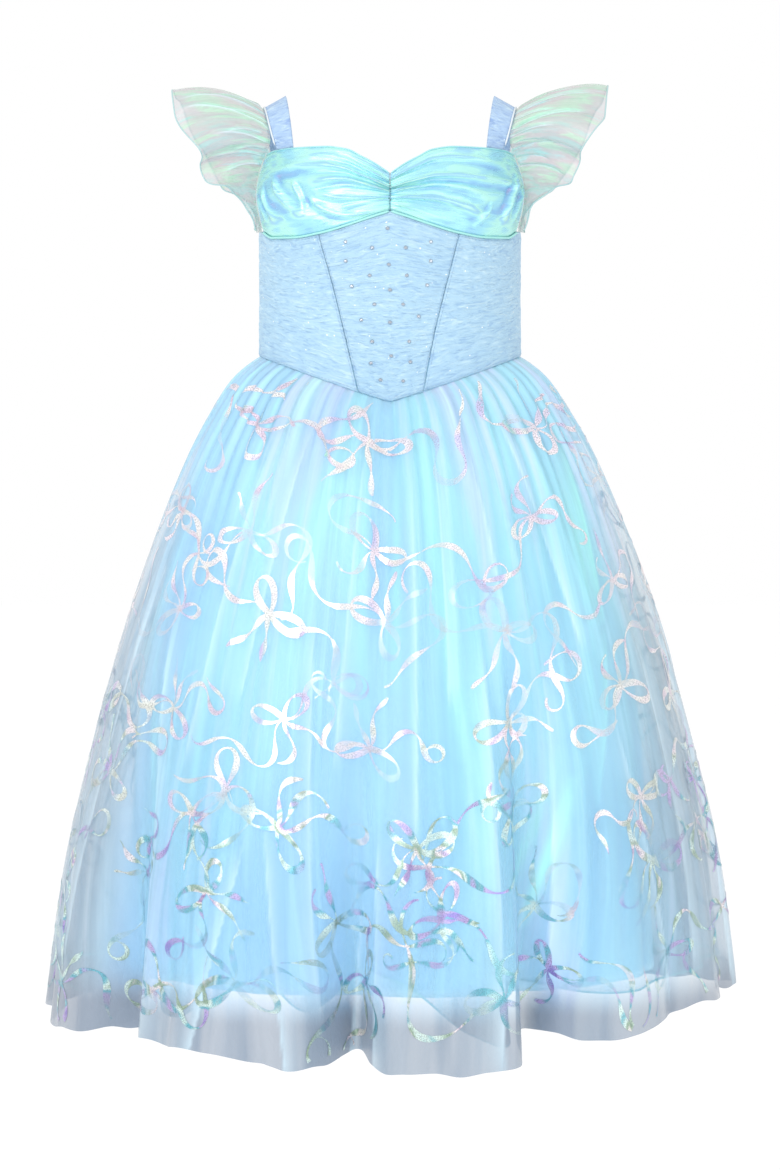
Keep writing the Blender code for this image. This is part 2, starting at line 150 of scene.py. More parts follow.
Edge = namedtuple("Edge", "angle top bottom")
CUP_EDGES = (
    Edge(0.0, -0.0640, -0.0957),
    Edge(7.0, -0.0550, -0.1000),
    Edge(12.5, -0.0495, -0.1035),
    Edge(19.0, -0.0435, -0.1075),
    Edge(30.0, -0.0408, -0.1130),
    Edge(46.0, -0.0412, -0.1168),
    Edge(62.0, -0.0425, -0.1165),
    Edge(72.0, -0.0450, -0.1120),
    Edge(80.0, -0.0480, -0.1100),
    Edge(90.0, -0.0500, -0.1100),
)

Rim = namedtuple("Rim", "angle height")
BACK_EDGE = (
    Rim(90.0, -0.1105),
    Rim(102.0, -0.1085),
    Rim(110.0, -0.0960),
    Rim(115.0, -0.0790),
    Rim(119.0, -0.0675),
    Rim(124.0, -0.0655),
    Rim(180.0, -0.0655),
)

Wing = namedtuple("Wing", "along out forward up arch")
RUFFLE = (
    Wing(0.00, 0.0040, 0.0030, 0.0000, 0.000),
    Wing(0.08, 0.0080, 0.0060, 0.0010, 0.000),
    Wing(0.13, 0.0220, 0.0130, 0.0000, 0.001),
    Wing(0.20, 0.0450, 0.0200, -0.0110, 0.004),
    Wing(0.30, 0.0580, 0.0200, -0.0080, 0.007),
    Wing(0.40, 0.0770, 0.0140, 0.0050, 0.009),
    Wing(0.48, 0.0760, 0.0020, 0.0140, 0.009),
    Wing(0.57, 0.0730, -0.0120, 0.0130, 0.008),
    Wing(0.68, 0.0620, -0.0180, 0.0040, 0.007),
    Wing(0.78, 0.0450, -0.0200, -0.0080, 0.004),
    Wing(0.86, 0.0220, -0.0130, 0.0000, 0.001),
    Wing(0.93, 0.0080, -0.0060, 0.0010, 0.000),
    Wing(1.00, 0.0040, -0.0030, 0.0000, 0.000),
)

# Painted mint glints of the film, in streaks: angle at the top and the low end, shares of the way down,
# reach in degrees, strength, and the side of the line that it lies on, or nought for both
Streak = namedtuple("Streak", "top low start end width strength side")
PAINTED_GLINT_STREAKS = (
    Streak(65.0, 57.0, 0.12, 0.40, 8.0, 1.0, -1),
    Streak(57.0, 45.0, 0.40, 0.66, 4.0, 0.6, -1),
    Streak(40.7, 30.3, 0.60, 0.84, 1.5, 1.0, 0),
    Streak(23.6, 20.8, 0.30, 0.80, 9.0, 0.8, -1),
    Streak(36.5, 37.0, 0.12, 0.55, 3.0, 0.6, -1),
    Streak(13.0, 16.0, 0.05, 0.55, 2.2, 0.5, 0),
    Streak(2.5, 1.0, 0.10, 0.45, 1.6, 0.5, 0),
    Streak(-9.0, -7.0, 0.05, 0.50, 2.0, 0.5, 0),
    Streak(-22.0, -24.0, 0.06, 0.34, 2.2, 0.4, 1),
    Streak(-46.0, -43.0, 0.34, 0.66, 1.3, 0.5, 0),
    Streak(-62.0, -55.0, 0.40, 0.75, 3.5, 0.4, 1),
    Streak(104.0, 118.0, 0.10, 0.55, 7.0, 0.9, 1),
    Streak(131.0, 128.0, 0.45, 0.80, 2.0, 0.7, 0),
    Streak(150.0, 153.0, 0.25, 0.75, 6.0, 0.8, -1),
    Streak(178.0, 184.0, 0.08, 0.50, 2.2, 0.5, 0),
    Streak(203.0, 212.0, 0.20, 0.80, 7.0, 0.8, 1),
    Streak(236.0, 240.0, 0.10, 0.45, 2.4, 0.5, 0),
    Streak(256.0, 250.0, 0.40, 0.75, 4.0, 0.5, -1),
)

# Pressed ridges of the overskirt: angle at the top and the low end, shares of the way down,
# the side on which the cloth lies double, how far that reaches in degrees, and the height
Ridge = namedtuple("Ridge", "top low start end side reach height")
RIDGES = (
    Ridge(-60.0, -50.8, 0.30, 1.02, 1, 7.0, 0.0030),
    Ridge(-29.2, -38.0, 0.66, 1.02, -1, 3.5, 0.0022),
    Ridge(-26.8, -19.2, 0.62, 1.02, 1, 3.0, 0.0022),
    Ridge(-20.6, -14.0, 0.28, 0.92, -1, 3.5, 0.0018),
    Ridge(-6.0, -9.8, 0.74, 1.02, 1, 2.5, 0.0020),
    Ridge(-2.6, -3.6, 0.62, 1.02, 1, 3.5, 0.0020),
    Ridge(23.8, 21.0, 0.32, 1.02, -1, 6.0, 0.0026),
    Ridge(38.0, 35.0, 0.36, 0.92, 1, 3.5, 0.0020),
    Ridge(52.6, 58.6, 0.50, 0.98, -1, 4.5, 0.0020),
    Ridge(66.0, 64.0, 0.40, 0.95, 1, 4.0, 0.0020),
    Ridge(17.0, 14.0, 0.04, 0.46, 1, 2.5, 0.0014),
    Ridge(30.0, 30.5, 0.05, 0.40, -1, 2.5, 0.0014),
    Ridge(44.0, 49.0, 0.04, 0.42, 1, 3.0, 0.0016),
    Ridge(8.0, 5.5, 0.08, 0.66, -1, 2.5, 0.0014),
    Ridge(-10.0, -12.5, 0.05, 0.55, 1, 2.5, 0.0014),
    Ridge(-32.0, -35.5, 0.05, 0.48, -1, 3.0, 0.0014),
    Ridge(-44.0, -47.0, 0.08, 0.58, 1, 3.5, 0.0018),
    Ridge(-68.0, -72.0, 0.25, 0.90, -1, 4.0, 0.0018),
    Ridge(80.0, 84.0, 0.30, 1.02, 1, 4.5, 0.0024),
    Ridge(93.0, 90.0, 0.06, 0.50, -1, 3.0, 0.0016),
    Ridge(106.0, 111.0, 0.35, 1.02, -1, 6.0, 0.0028),
    Ridge(121.0, 118.0, 0.08, 0.55, 1, 3.5, 0.0018),
    Ridge(133.0, 137.0, 0.50, 1.02, 1, 5.0, 0.0024),
    Ridge(144.0, 141.0, 0.05, 0.42, -1, 3.0, 0.0014),
    Ridge(157.0, 160.0, 0.28, 0.96, 1, 6.0, 0.0026),
    Ridge(171.0, 168.0, 0.06, 0.60, -1, 3.0, 0.0016),
    Ridge(183.0, 188.0, 0.55, 1.02, -1, 4.0, 0.0022),
    Ridge(196.0, 193.0, 0.10, 0.72, 1, 3.5, 0.0018),
    Ridge(209.0, 214.0, 0.32, 1.02, 1, 6.0, 0.0028),
    Ridge(222.0, 220.0, 0.05, 0.45, -1, 3.0, 0.0014),
    Ridge(235.0, 238.0, 0.44, 1.02, -1, 5.0, 0.0024),
    Ridge(247.0, 245.0, 0.06, 0.52, 1, 3.0, 0.0016),
    Ridge(260.0, 264.0, 0.30, 0.98, 1, 5.0, 0.0024),
)

# Creases of the draped cups: share of the way across and up at their first and last end, how
# far they bow aside, height and width. Most are drawn from the centre seam
Crease = namedtuple("Crease", "across up to_across to_up bow height width")
LEFT_CREASES = (
    Crease(0.00, 0.88, 0.50, 0.95, 0.03, 0.0016, 0.030),
    Crease(0.00, 0.76, 0.62, 0.88, 0.06, 0.0024, 0.034),
    Crease(0.00, 0.62, 0.82, 0.76, 0.10, 0.0030, 0.040),
    Crease(0.00, 0.50, 0.50, 0.55, 0.08, 0.0028, 0.036),
    Crease(0.00, 0.36, 0.48, 0.54, -0.10, 0.0020, 0.030),
    Crease(0.04, 0.08, 0.50, 0.50, -0.14, 0.0028, 0.036),
    Crease(0.00, 0.28, 0.30, 0.22, 0.02, 0.0014, 0.026),
    Crease(0.78, 0.74, 0.42, 0.14, 0.08, 0.0030, 0.055),
    Crease(0.58, 0.64, 0.50, 0.20, -0.05, 0.0022, 0.040),
    Crease(0.88, 0.62, 0.72, 0.12, 0.06, 0.0024, 0.050),
    Crease(0.96, 0.48, 0.86, 0.14, 0.02, 0.0016, 0.035),
)
RIGHT_CREASES = (
    Crease(0.20, 0.92, 0.74, 0.94, 0.02, 0.0012, 0.022),
    Crease(0.00, 0.82, 0.86, 0.80, 0.07, 0.0026, 0.032),
    Crease(0.00, 0.61, 0.96, 0.58, 0.06, 0.0030, 0.036),
    Crease(0.00, 0.48, 0.60, 0.46, 0.06, 0.0020, 0.028),
    Crease(0.00, 0.34, 0.64, 0.22, 0.05, 0.0026, 0.038),
    Crease(0.00, 0.20, 0.42, 0.10, -0.03, 0.0016, 0.030),
    Crease(0.92, 0.76, 0.72, 0.06, -0.06, 0.0030, 0.050),
    Crease(0.99, 0.62, 0.86, 0.10, -0.02, 0.0020, 0.040),
    Crease(0.62, 0.40, 0.50, 0.08, 0.03, 0.0018, 0.034),
)

# Wrinkles of a wing ruffle: place along the seam and along the free edge, how far out they
# start and end, width as a share of the seam, and height
Wrinkle = namedtuple("Wrinkle", "seam edge start end width height")
LEFT_WRINKLES = (
    Wrinkle(0.215, 0.190, 0.00, 0.70, 0.0060, 0.0018),
    Wrinkle(0.245, 0.255, 0.00, 0.95, 0.0050, 0.0020),
    Wrinkle(0.280, 0.250, 0.05, 0.55, 0.0045, 0.0014),
    Wrinkle(0.305, 0.335, 0.00, 0.80, 0.0060, 0.0022),
    Wrinkle(0.335, 0.320, 0.10, 0.60, 0.0040, 0.0014),
    Wrinkle(0.360, 0.405, 0.00, 1.00, 0.0060, 0.0024),
    Wrinkle(0.385, 0.380, 0.00, 0.50, 0.0040, 0.0014),
    Wrinkle(0.410, 0.425, 0.05, 1.00, 0.0050, 0.0020),
    Wrinkle(0.445, 0.415, 0.00, 0.60, 0.0045, 0.0016),
    Wrinkle(0.500, 0.515, 0.00, 0.85, 0.0060, 0.0018),
    Wrinkle(0.560, 0.540, 0.00, 0.65, 0.0050, 0.0016),
    Wrinkle(0.610, 0.635, 0.00, 0.95, 0.0060, 0.0022),
    Wrinkle(0.665, 0.650, 0.05, 0.70, 0.0050, 0.0016),
    Wrinkle(0.720, 0.745, 0.00, 0.90, 0.0060, 0.0018),
    Wrinkle(0.770, 0.760, 0.00, 0.60, 0.0050, 0.0014),
)
RIGHT_WRINKLES = (
    Wrinkle(0.205, 0.200, 0.00, 0.90, 0.0055, 0.0018),
    Wrinkle(0.235, 0.225, 0.00, 0.60, 0.0045, 0.0014),
    Wrinkle(0.265, 0.300, 0.00, 1.00, 0.0060, 0.0024),
    Wrinkle(0.300, 0.285, 0.10, 0.70, 0.0045, 0.0016),
    Wrinkle(0.330, 0.350, 0.00, 0.60, 0.0045, 0.0014),
    Wrinkle(0.355, 0.395, 0.00, 0.90, 0.0055, 0.0022),
    Wrinkle(0.395, 0.380, 0.00, 0.50, 0.0040, 0.0014),
    Wrinkle(0.425, 0.450, 0.00, 0.95, 0.0055, 0.0020),
    Wrinkle(0.470, 0.455, 0.05, 0.65, 0.0045, 0.0016),
    Wrinkle(0.520, 0.545, 0.00, 0.90, 0.0060, 0.0020),
    Wrinkle(0.585, 0.570, 0.00, 0.60, 0.0050, 0.0014),
    Wrinkle(0.640, 0.655, 0.00, 0.95, 0.0060, 0.0020),
    Wrinkle(0.700, 0.725, 0.00, 0.75, 0.0050, 0.0016),
    Wrinkle(0.755, 0.740, 0.00, 0.85, 0.0055, 0.0016),
)

# Clear stones on the centre panel: millimetres across and height
Stone = namedtuple("Stone", "across height")
STONES = tuple(Stone(*place) for place in (
    (-2, -110), (-37, -121), (-15, -126), (13, -126), (34, -121), (-37, -137), (-1, -140),
    (34, -137), (-17, -149), (14, -149), (-32, -158), (31, -157), (0, -161), (-13, -173),
    (11, -173), (-24, -186), (0, -188), (24, -183), (-15, -204), (16, -204), (1, -216),
    (-16, -222), (17, -221), (-8, -236), (11, -237)))


def curve(rows, key, value, at):
    """Smooth curve through a table's column: cubics that never overshoot their points."""
    xs = np.array([getattr(row, key) for row in rows])
    ys = np.array([getattr(row, value) for row in rows])
    step = np.diff(xs)
    slope = np.diff(ys) / step
    product = slope[:-1] * slope[1:]
    total = np.where(product > 0, slope[:-1] + slope[1:], 1.0)
    inner = np.where(product > 0, 2 * product / total, 0.0)
    tangent = np.concatenate([slope[:1], inner, slope[-1:]])
    at = np.clip(at, xs[0], xs[-1])
    k = np.clip(np.searchsorted(xs, at, side="right") - 1, 0, len(step) - 1)
    f = (at - xs[k]) / step[k]
    start = (1 + 2 * f) * (1 - f) ** 2 * ys[k] + f * (1 - f) ** 2 * step[k] * tangent[k]
    end = f * f * (3 - 2 * f) * ys[k + 1] - f * f * (1 - f) * step[k] * tangent[k + 1]
    return start + end


def ease(x):
    """Nought to one with level ends."""
    x = np.clip(x, 0.0, 1.0)
    return x * x * (3 - 2 * x)


def unit(vectors):
    """Vectors at a length of one."""
    return vectors / np.maximum(np.linalg.norm(vectors, axis=-1, keepdims=True), 1e-12)


def drift(across, along, wide, tall, seed, wrap=0):
    """Soft random height from -1 to 1: a lattice of chance heights, eased between its points.

    across and along are counted in cells of the size wide and tall; wrap joins the lattice's ends.
    """
    chance = np.random.default_rng(seed).uniform(-1, 1, (97, 97))
    a = np.asarray(across) / wide
    b = np.asarray(along) / tall
    a0 = np.floor(a).astype(int)
    b0 = np.floor(b).astype(int)
    fa = ease(a - a0)
    fb = ease(b - b0)
    span = wrap if wrap else 97
    left = a0 % span % 97
    right = (a0 + 1) % span % 97
    low = b0 % 97
    high = (b0 + 1) % 97
    bottom = chance[left, low] * (1 - fa) + chance[right, low] * fa
    top = chance[left, high] * (1 - fa) + chance[right, high] * fa
    return bottom * (1 - fb) + top * fb


def on_ring(rows, at, angle):
    """Point of an oval section: half width by the sine, front or back depth by the cosine."""
    turn = np.radians(angle)
    width = curve(rows, "at", "half_width", at)
    front = curve(rows, "at", "front", at)
    back = curve(rows, "at", "back", at)
    depth = np.where(np.cos(turn) > 0, front, back)
    return width * np.sin(turn), -depth * np.cos(turn)


def torso(angle, height, out=0.0):
    """Point on the torso at an angle and a height, moved out by a distance."""
    x, y = on_ring(TORSO, height, angle)
    length = np.hypot(x, y)
    return np.stack([x * (1 + out / length), y * (1 + out / length), height + 0 * x], axis=-1)


def waist_height(angle):
    """Waist seam: level round the back, a straight-sided point at the front."""
    turn = np.radians(angle)
    drop = WAIST_POINT_DROP * (1 - np.abs(np.sin(turn)) ** 1.1)
    return WAIST_SIDE - np.where(np.cos(turn) > 0, drop, 0.0)


def fold_share(angle, down, reach):
    """Share of the radius that the folds take in: a bell for each, growing towards the hem."""
    total = 0.0
    for fold in FOLDS:
        centre = fold.waist + (fold.hem - fold.waist) * down
        offset = (angle - centre + 180.0) % 360.0 - 180.0
        width = np.where(offset < 0, fold.left, fold.right) * reach
        grown = ease((down - fold.start) / (1 - fold.start)) * 0.6 + 0.4 * np.clip(
            (down - fold.start) / (1 - fold.start), 0.0, 1.0)
        total = total + fold.depth * grown * np.exp(-(offset / width) ** 2)
    return total


def fine_gathers(cloth, down, seed, depth):
    """Gathers under the waist: rounded ridges of uneven depth, each fading at its own length."""
    tall = 1 + 0.45 * drift(cloth + 90, 0 * down, 5.0, 1.0, seed, 72)
    length = 0.34 * (1 + 0.55 * drift(cloth + 90, 0 * down, 7.5, 1.0, seed + 1, 48))
    lag = 2.0 * drift(cloth + 90, down, 6.0, 0.6, seed + 2, 60)
    ridge = np.cos(np.radians(GATHERS_ALL_ROUND * cloth) + lag * ease(down / 0.2))
    fade = 1 - ease(down / length)
    return depth * tall * (0.35 + 0.65 * ease(down / 0.05)) * fade * (ridge + 0.25 * ridge ** 3)


def long_folds(cloth, down, seed, depth):
    """Long soft folds from the gathers to the hem: chance heights stretched far downwards."""
    wide = drift(cloth + 90 + 2.5 * down, down, 5.0, 0.55, seed, 72)
    narrow = drift(cloth + 90 - 1.5 * down, down, 2.4, 0.42, seed + 1, 150)
    return depth * (0.65 * wide + 0.35 * narrow) * ease(down / 0.25)


def ridges(angle, down):
    """Height of the pressed ridges, and how far the cloth lies double beside them.

    Each is steep on one side of its line and dies away slowly on the other.
    """
    height = 0.0
    double = 0.0
    for ridge in RIDGES:
        share = (down - ridge.start) / (ridge.end - ridge.start)
        line = ridge.top + (ridge.low - ridge.top) * np.clip(share, 0.0, 1.0)
        offset = ((angle - line + 180.0) % 360.0 - 180.0) * ridge.side
        slow = np.exp(-np.maximum(offset, 0.0) / (0.5 * ridge.reach))
        steep = ease((offset + 0.4) / 0.5)
        shown = ease(share / 0.25) * ease((1.0 - share) / 0.12 + 0.35)
        height = height + ridge.height * np.where(offset > 0, slow, np.exp(-(offset / 0.8) ** 2)) * shown
        double = double + slow * steep * shown
    return height, np.clip(double, 0.0, 1.0)


def hem_of(angle, layer):
    """Height of a layer's hem at an angle."""
    turned = (angle + 90.0) % 360.0 - 90.0
    return HEM_HEIGHT + curve(HEM, "angle", layer, turned)


def overskirt_point(cloth, angle, down):
    """Overskirt: oval sections less the folds, with gathers and long folds, lowered to its hem."""
    share = fold_share(angle, down, 1.0)
    x, y = on_ring(OVERSKIRT, down, angle)
    relief = fine_gathers(cloth, down, 11, GATHER_DEPTH) + long_folds(cloth, down, 21, 0.0030)
    relief = relief + ridges(angle, down)[0]
    tuck = 0.0034 * np.exp(-down / 0.008)
    grow = 1 - share + (relief - tuck) / np.hypot(x, y)
    flutter = 0.0025 * drift(cloth + 90, 0 * down, 4.0, 1.0, 31, 90) * down ** 4
    hem = hem_of(angle, "overskirt") + FOLD_HEM_LIFT * share + flutter
    top = waist_height(angle) - SEAM_GAP
    return np.stack([x * grow, y * grow, top + (hem - top) * down], axis=-1)


def film_point(cloth, angle, down):
    """Film layer: inside the overskirt, with wider folds in the same places and its own hem."""
    share = fold_share(angle, down, 1.3)
    x, y = on_ring(OVERSKIRT, down, angle)
    inset = FILM_INSET_WAIST * (1 + 0.35 * ease(down / 0.04))
    inset = inset + (FILM_INSET_HEM - 1.3 * FILM_INSET_WAIST) * ease(down / 0.25)
    relief = fine_gathers(cloth, down, 11, 0.0012) + long_folds(cloth, down, 41, 0.0030)
    grow = 1 - share + (relief - inset) / np.hypot(x, y)
    hem = hem_of(angle, "film") + FOLD_HEM_LIFT * share
    top = waist_height(angle) - 3 * SEAM_GAP
    return np.stack([x * grow, y * grow, top + (hem - top) * down], axis=-1)


def lining_point(cloth, angle, down):
    """Lining: a narrower flare with the same folds, wider and softer, and a level hem."""
    share = fold_share(angle, down, 1.5) * 0.35
    x, y = on_ring(LINING, down, angle)
    relief = long_folds(cloth, down, 61, 0.0030)
    grow = 1 - share + relief / np.hypot(x, y)
    top = waist_height(angle) - 3 * SEAM_GAP
    return np.stack([x * grow, y * grow, top + (LINING_HEM - top) * down], axis=-1)


def skirt_tube(point, columns, downs):
    """A skirt layer all round: columns share each half ring's length evenly, seam to seam."""
    half = columns // 2
    rows = []
    for down in downs:
        ring = []
        for first, last in ((-90.0, 90.0), (90.0, 270.0)):
            dense = np.linspace(first, last, 1441)
            trial = point(dense, dense, down + 0 * dense)
            steps = np.hypot(np.diff(trial[:, 0]), np.diff(trial[:, 1]))
            length = np.concatenate([[0.0], np.cumsum(steps)])
            cloth = np.linspace(first, last, half + 1)[:-1]
            even = np.interp(np.linspace(0.0, length[-1], half + 1)[:-1], length, dense)
            angle = cloth + (even - cloth) * ease(down / 0.5)
            ring.append(point(cloth, angle, down + 0 * cloth))
        rows.append(np.concatenate(ring))
    return np.array(rows)


def left_seam(height):
    """Angle of the seam at the centre panel's left."""
    return curve(PANEL_SEAMS, "height", "left", height)


def right_seam(height):
    """Angle of the seam at the centre panel's right."""
    return curve(PANEL_SEAMS, "height", "right", height)


def cup_edge(side, turned):
    """Height of a cup's edge by the angle from the front."""
    return curve(CUP_EDGES, "angle", side, np.abs(turned))


def under_cup(angle):
    """Height of the cups' lower edge."""
    return cup_edge("bottom", angle)


def back_top(angle):
    """Height of the back panel's upper edge."""
    return curve(BACK_EDGE, "angle", "height", 180.0 - np.abs(180.0 - angle))


def panel(left, right, bottom, top, columns, rows, seed):
    """Panel of the bodice between two seams: edges turned in, with faint level wrinkles."""
    across = np.linspace(0.0, 1.0, columns + 1)[None, :]
    up = np.linspace(0.0, 1.0, rows + 1)[:, None]
    angle = left(-0.17) + (right(-0.17) - left(-0.17)) * across + 0 * up
    for _ in range(6):
        low = bottom(angle)
        height = low + (top(angle) - low) * up
        angle = left(height) + (right(height) - left(height)) * across
    edge = np.minimum(angle - left(height), right(height) - angle) * 0.0017
    turned_in = -0.0007 * np.exp(-(edge / 0.0008) ** 2)
    rim = np.minimum(height - low, top(angle) - height)
    turned_in = turned_in - 0.0006 * np.exp(-(rim / 0.0012) ** 2)
    wrinkle = 0.00035 * drift(angle + 90, height, 9.0, 0.0045, seed)
    wrinkle = wrinkle + 0.00020 * drift(angle + 90, height, 4.0, 0.0022, seed + 1)
    return torso(angle, height, turned_in + wrinkle)


def cup_grid(side, columns, rows, creases):
    """A cup: full between its edges, with soft creases, each a bell across a bowed line.

    Gives the points, and the creases' height from about -1 to 1.
    """
    across = np.linspace(0.0, 1.0, columns + 1)[None, :]
    up = np.linspace(0.0, 1.0, rows + 1)[:, None]
    outer = 73.0 + 5.0 * np.sin(np.pi * up)
    start = np.degrees(SEAM_GAP * 0.5 / 0.085)
    angle = start + (outer - start) * across
    low = cup_edge("bottom", angle) + SEAM_GAP
    height = low + (cup_edge("top", angle) - low) * up
    swell = CUP_FULLNESS * np.sin(np.pi * up) * (0.35 + 0.65 * ease(across * 2.0))
    relief = 0.0
    for crease in creases:
        run = np.array([2.3 * (crease.to_across - crease.across), crease.to_up - crease.up])
        long = np.hypot(*run)
        way = (2.3 * (across - crease.across), up - crease.up)
        share = (way[0] * run[0] + way[1] * run[1]) / long ** 2
        offset = (way[1] * run[0] - way[0] * run[1]) / long
        offset = offset - crease.bow * np.sin(np.pi * np.clip(share, 0.0, 1.0))
        width = crease.width * (0.6 + 0.9 * np.clip(share, 0.0, 1.0))
        bell = np.exp(-np.abs(offset / width) ** 1.6)
        dip = 0.6 * np.exp(-((offset + 1.7 * width) / (1.2 * width)) ** 2)
        begun = 1.0 if crease.across == 0.0 else ease(share / 0.25)
        relief = relief + crease.height * (bell - dip) * begun * ease((1.0 - share) / 0.3)
    relief = relief + 0.0005 * drift(up + 0.4 * across, across, 0.16, 0.35, 5 + side)
    relief = relief + 0.0006 * np.cos(2 * np.pi * 13 * up) * np.exp(-across / 0.09)
    pinch = -0.0022 * np.exp(-across / 0.035)
    edges = np.sin(np.pi * np.clip(up, 0.0, 1.0)) ** 0.5
    relief = relief * edges
    hem = -0.0009 * np.exp(-(np.minimum(up, 1 - up) / 0.02) ** 2)
    return torso(side * angle, height, swell + relief + pinch + hem), relief / 0.002


def strap_grid(side, columns, rows):
    """A strap over the shoulder: an arch from the cup's edge to the back panel's edge."""
    along = np.linspace(0.0, 1.0, rows + 1)[:, None]
    across = np.linspace(-0.5, 0.5, columns + 1)[None, :]
    foot = torso(STRAP_FOOT_ANGLE, cup_edge("top", STRAP_FOOT_ANGLE) + SEAM_GAP)
    heel = torso(180.0 - STRAP_FOOT_ANGLE, BACK_EDGE[-1].height + SEAM_GAP)
    rise = np.where(along < 0.42, along / 0.42, (1 - along) / 0.58)
    base = np.where(along < 0.42, foot[2], heel[2])
    height = base * (1 - np.sin(np.pi / 2 * rise))
    back = foot[1] + (heel[1] - foot[1]) * (0.5 - 0.5 * np.cos(np.pi * along))
    bow = foot[0] + (heel[0] - foot[0]) * along + 0.0085 * np.sin(np.pi * along)
    level = np.sin(np.pi / 2 * rise)
    lean = 0.62 * (1 - level)
    wide = STRAP_WIDTH * across
    x = bow + wide * np.sqrt(1 - lean ** 2)
    y = back + wide * lean * np.where(along < 0.42, 1.0, -1.0)
    z = height - STRAP_TILT * across * level * 2 + 0 * across
    foot_line = cup_edge("top", np.degrees(np.arcsin(np.clip(x / 0.1085, -1, 1)))) + SEAM_GAP
    z = np.where(along < 0.42, z + (foot_line - foot[2]) * (1 - level) ** 2, z)
    return np.stack([side * x, y, z], axis=-1)


def armhole_path(side, count):
    """Seam of the wing ruffle: cup edge, strap edge, back edge, a little outside them."""
    up = np.linspace(0.0, 1.0, 13)
    angle = 73.0 + 5.0 * np.sin(np.pi * up)
    low = cup_edge("bottom", angle) + 2 * SEAM_GAP
    height = low + (cup_edge("top", angle) - low) * up
    cup = torso(side * angle, height, CUP_FULLNESS * np.sin(np.pi * up))
    strap = strap_grid(side, 4, 24)[1:-1, -1]
    angle = np.linspace(117.0, 97.0, 9)
    height = curve(BACK_EDGE, "angle", "height", angle)
    back = torso(side * angle, height)
    line = np.concatenate([cup, strap, back])
    steps = np.linalg.norm(np.diff(line, axis=0), axis=1)
    length = np.concatenate([[0.0], np.cumsum(steps)])
    coarse = np.linspace(0.0, length[-1], 43)
    path = np.stack([np.interp(coarse, length, line[:, k]) for k in range(3)], axis=-1)
    for _ in range(3):
        path[1:-1] = 0.5 * path[1:-1] + 0.25 * (path[:-2] + path[2:])
    even = np.linspace(0.0, 42.0, count + 1)
    path = np.stack([np.interp(even, np.arange(43), path[:, k]) for k in range(3)], axis=-1)
    for _ in range(max(1, count // 10)):
        path[1:-1] = 0.5 * path[1:-1] + 0.25 * (path[:-2] + path[2:])
    return path


def ruffle_grid(side, columns, rows, wrinkles):
    """A wing ruffle: gathered at the armhole seam, arched over the arm, waved at its free edge.

    Each wrinkle is a ridge across a line from the seam to the edge. Gives the points, and the
    marks of where the cloth lies double and where painted glints lie beside the wrinkles.
    """
    path = armhole_path(side, columns)
    along = np.linspace(0.0, 1.0, columns + 1)[None, :]
    out = np.linspace(0.0, 1.0, rows + 1)[:, None]
    reach = np.stack([
        side * curve(RUFFLE, "along", "out", along),
        -curve(RUFFLE, "along", "forward", along),
        curve(RUFFLE, "along", "up", along),
    ], axis=-1)
    size = np.linalg.norm(reach, axis=-1, keepdims=True)
    start = path[None, :, :] + reach / size * 0.0012
    flat = start + reach * out[..., None]
    flat[..., 2] += 4 * out * (1 - out) * curve(RUFFLE, "along", "arch", along)
    away = normals(flat)
    wave = np.cos(2 * np.pi * RUFFLE_WAVES * along + 0.7 * side)
    height = RUFFLE_WAVE_DEPTH * wave * out ** 1.3 * np.sin(np.pi * along) ** 0.7
    lag = drift(along, out, 0.07, 0.5, 71 + side)
    gather = np.cos(2 * np.pi * 38 * along + 1.5 * lag) * np.exp(-out / 0.35)
    height = height + 0.0009 * gather * np.sin(np.pi * along) ** 0.5 * ease(out / 0.06)
    height = height + 0.0022 * drift(along + 0.03 * out, out, 0.035, 0.45, 81 + side) * ease(out)
    double = 0.0
    glow = 0.0
    for wrinkle in wrinkles:
        share = (out - wrinkle.start) / (wrinkle.end - wrinkle.start)
        line = wrinkle.seam + (wrinkle.edge - wrinkle.seam) * out
        line = line + 0.006 * np.sin(np.pi * np.clip(share, 0.0, 1.0))
        offset = (along - line) / wrinkle.width
        shown = ease(share / 0.1 + 0.4) * ease((1.0 - share) / 0.3)
        height = height + wrinkle.height * np.exp(-np.abs(offset) ** 1.5) * shown * ease(out / 0.08)
        double = double + np.exp(-(offset / 0.35) ** 2) * shown
        # Painted glints on one side of each wrinkle
        glow = glow + np.exp(-((offset - 1.0) / 0.7) ** 2) * shown * 0.4
    marks = {"double": np.clip(double, 0.0, 1.0), "glow": np.clip(glow, 0.0, 1.0)}
    return flat + away * height[..., None], marks


def around(cells, closed=False):
    """Sum of the four cells that meet at each point of a grid, the edge cells counted twice."""
    if closed:
        wide = np.pad(cells, ((1, 1), (0, 0), (0, 0)), mode="edge")
        pairs = wide[:-1] + wide[1:]
        return pairs + np.roll(pairs, 1, axis=1)
    wide = np.pad(cells, ((1, 1), (1, 1), (0, 0)), mode="edge")
    return wide[:-1, :-1] + wide[:-1, 1:] + wide[1:, :-1] + wide[1:, 1:]


def normals(grid, closed=False):
    """Unit normal at each point of a grid: the mean of the cells that meet there."""
    if closed:
        grid = np.concatenate([grid, grid[:, :1]], axis=1)
    cells = unit(np.cross(grid[1:, 1:] - grid[:-1, :-1], grid[1:, :-1] - grid[:-1, 1:]))
    return unit(around(cells, closed))


def mesh_piece(name, points, faces, material, coordinates=None, smooth=True):
    """A mesh from arrays of points and faces, with a UV map given for each point."""
    mesh = bpy.data.meshes.new(name)
    mesh.from_pydata(points.tolist(), [], faces.tolist())
    if coordinates is not None:
        layer = mesh.uv_layers.new(name="cloth")
        corners = np.empty(len(mesh.loops), dtype=np.int32)
        mesh.loops.foreach_get("vertex_index", corners)
        layer.data.foreach_set("uv", coordinates[corners].astype(np.float32).ravel())
    mesh.polygons.foreach_set("use_smooth", np.full(len(mesh.polygons), smooth))
    mesh.materials.append(material)
    piece = bpy.data.objects.new(name, mesh)
    bpy.context.scene.collection.objects.link(piece)
    return piece


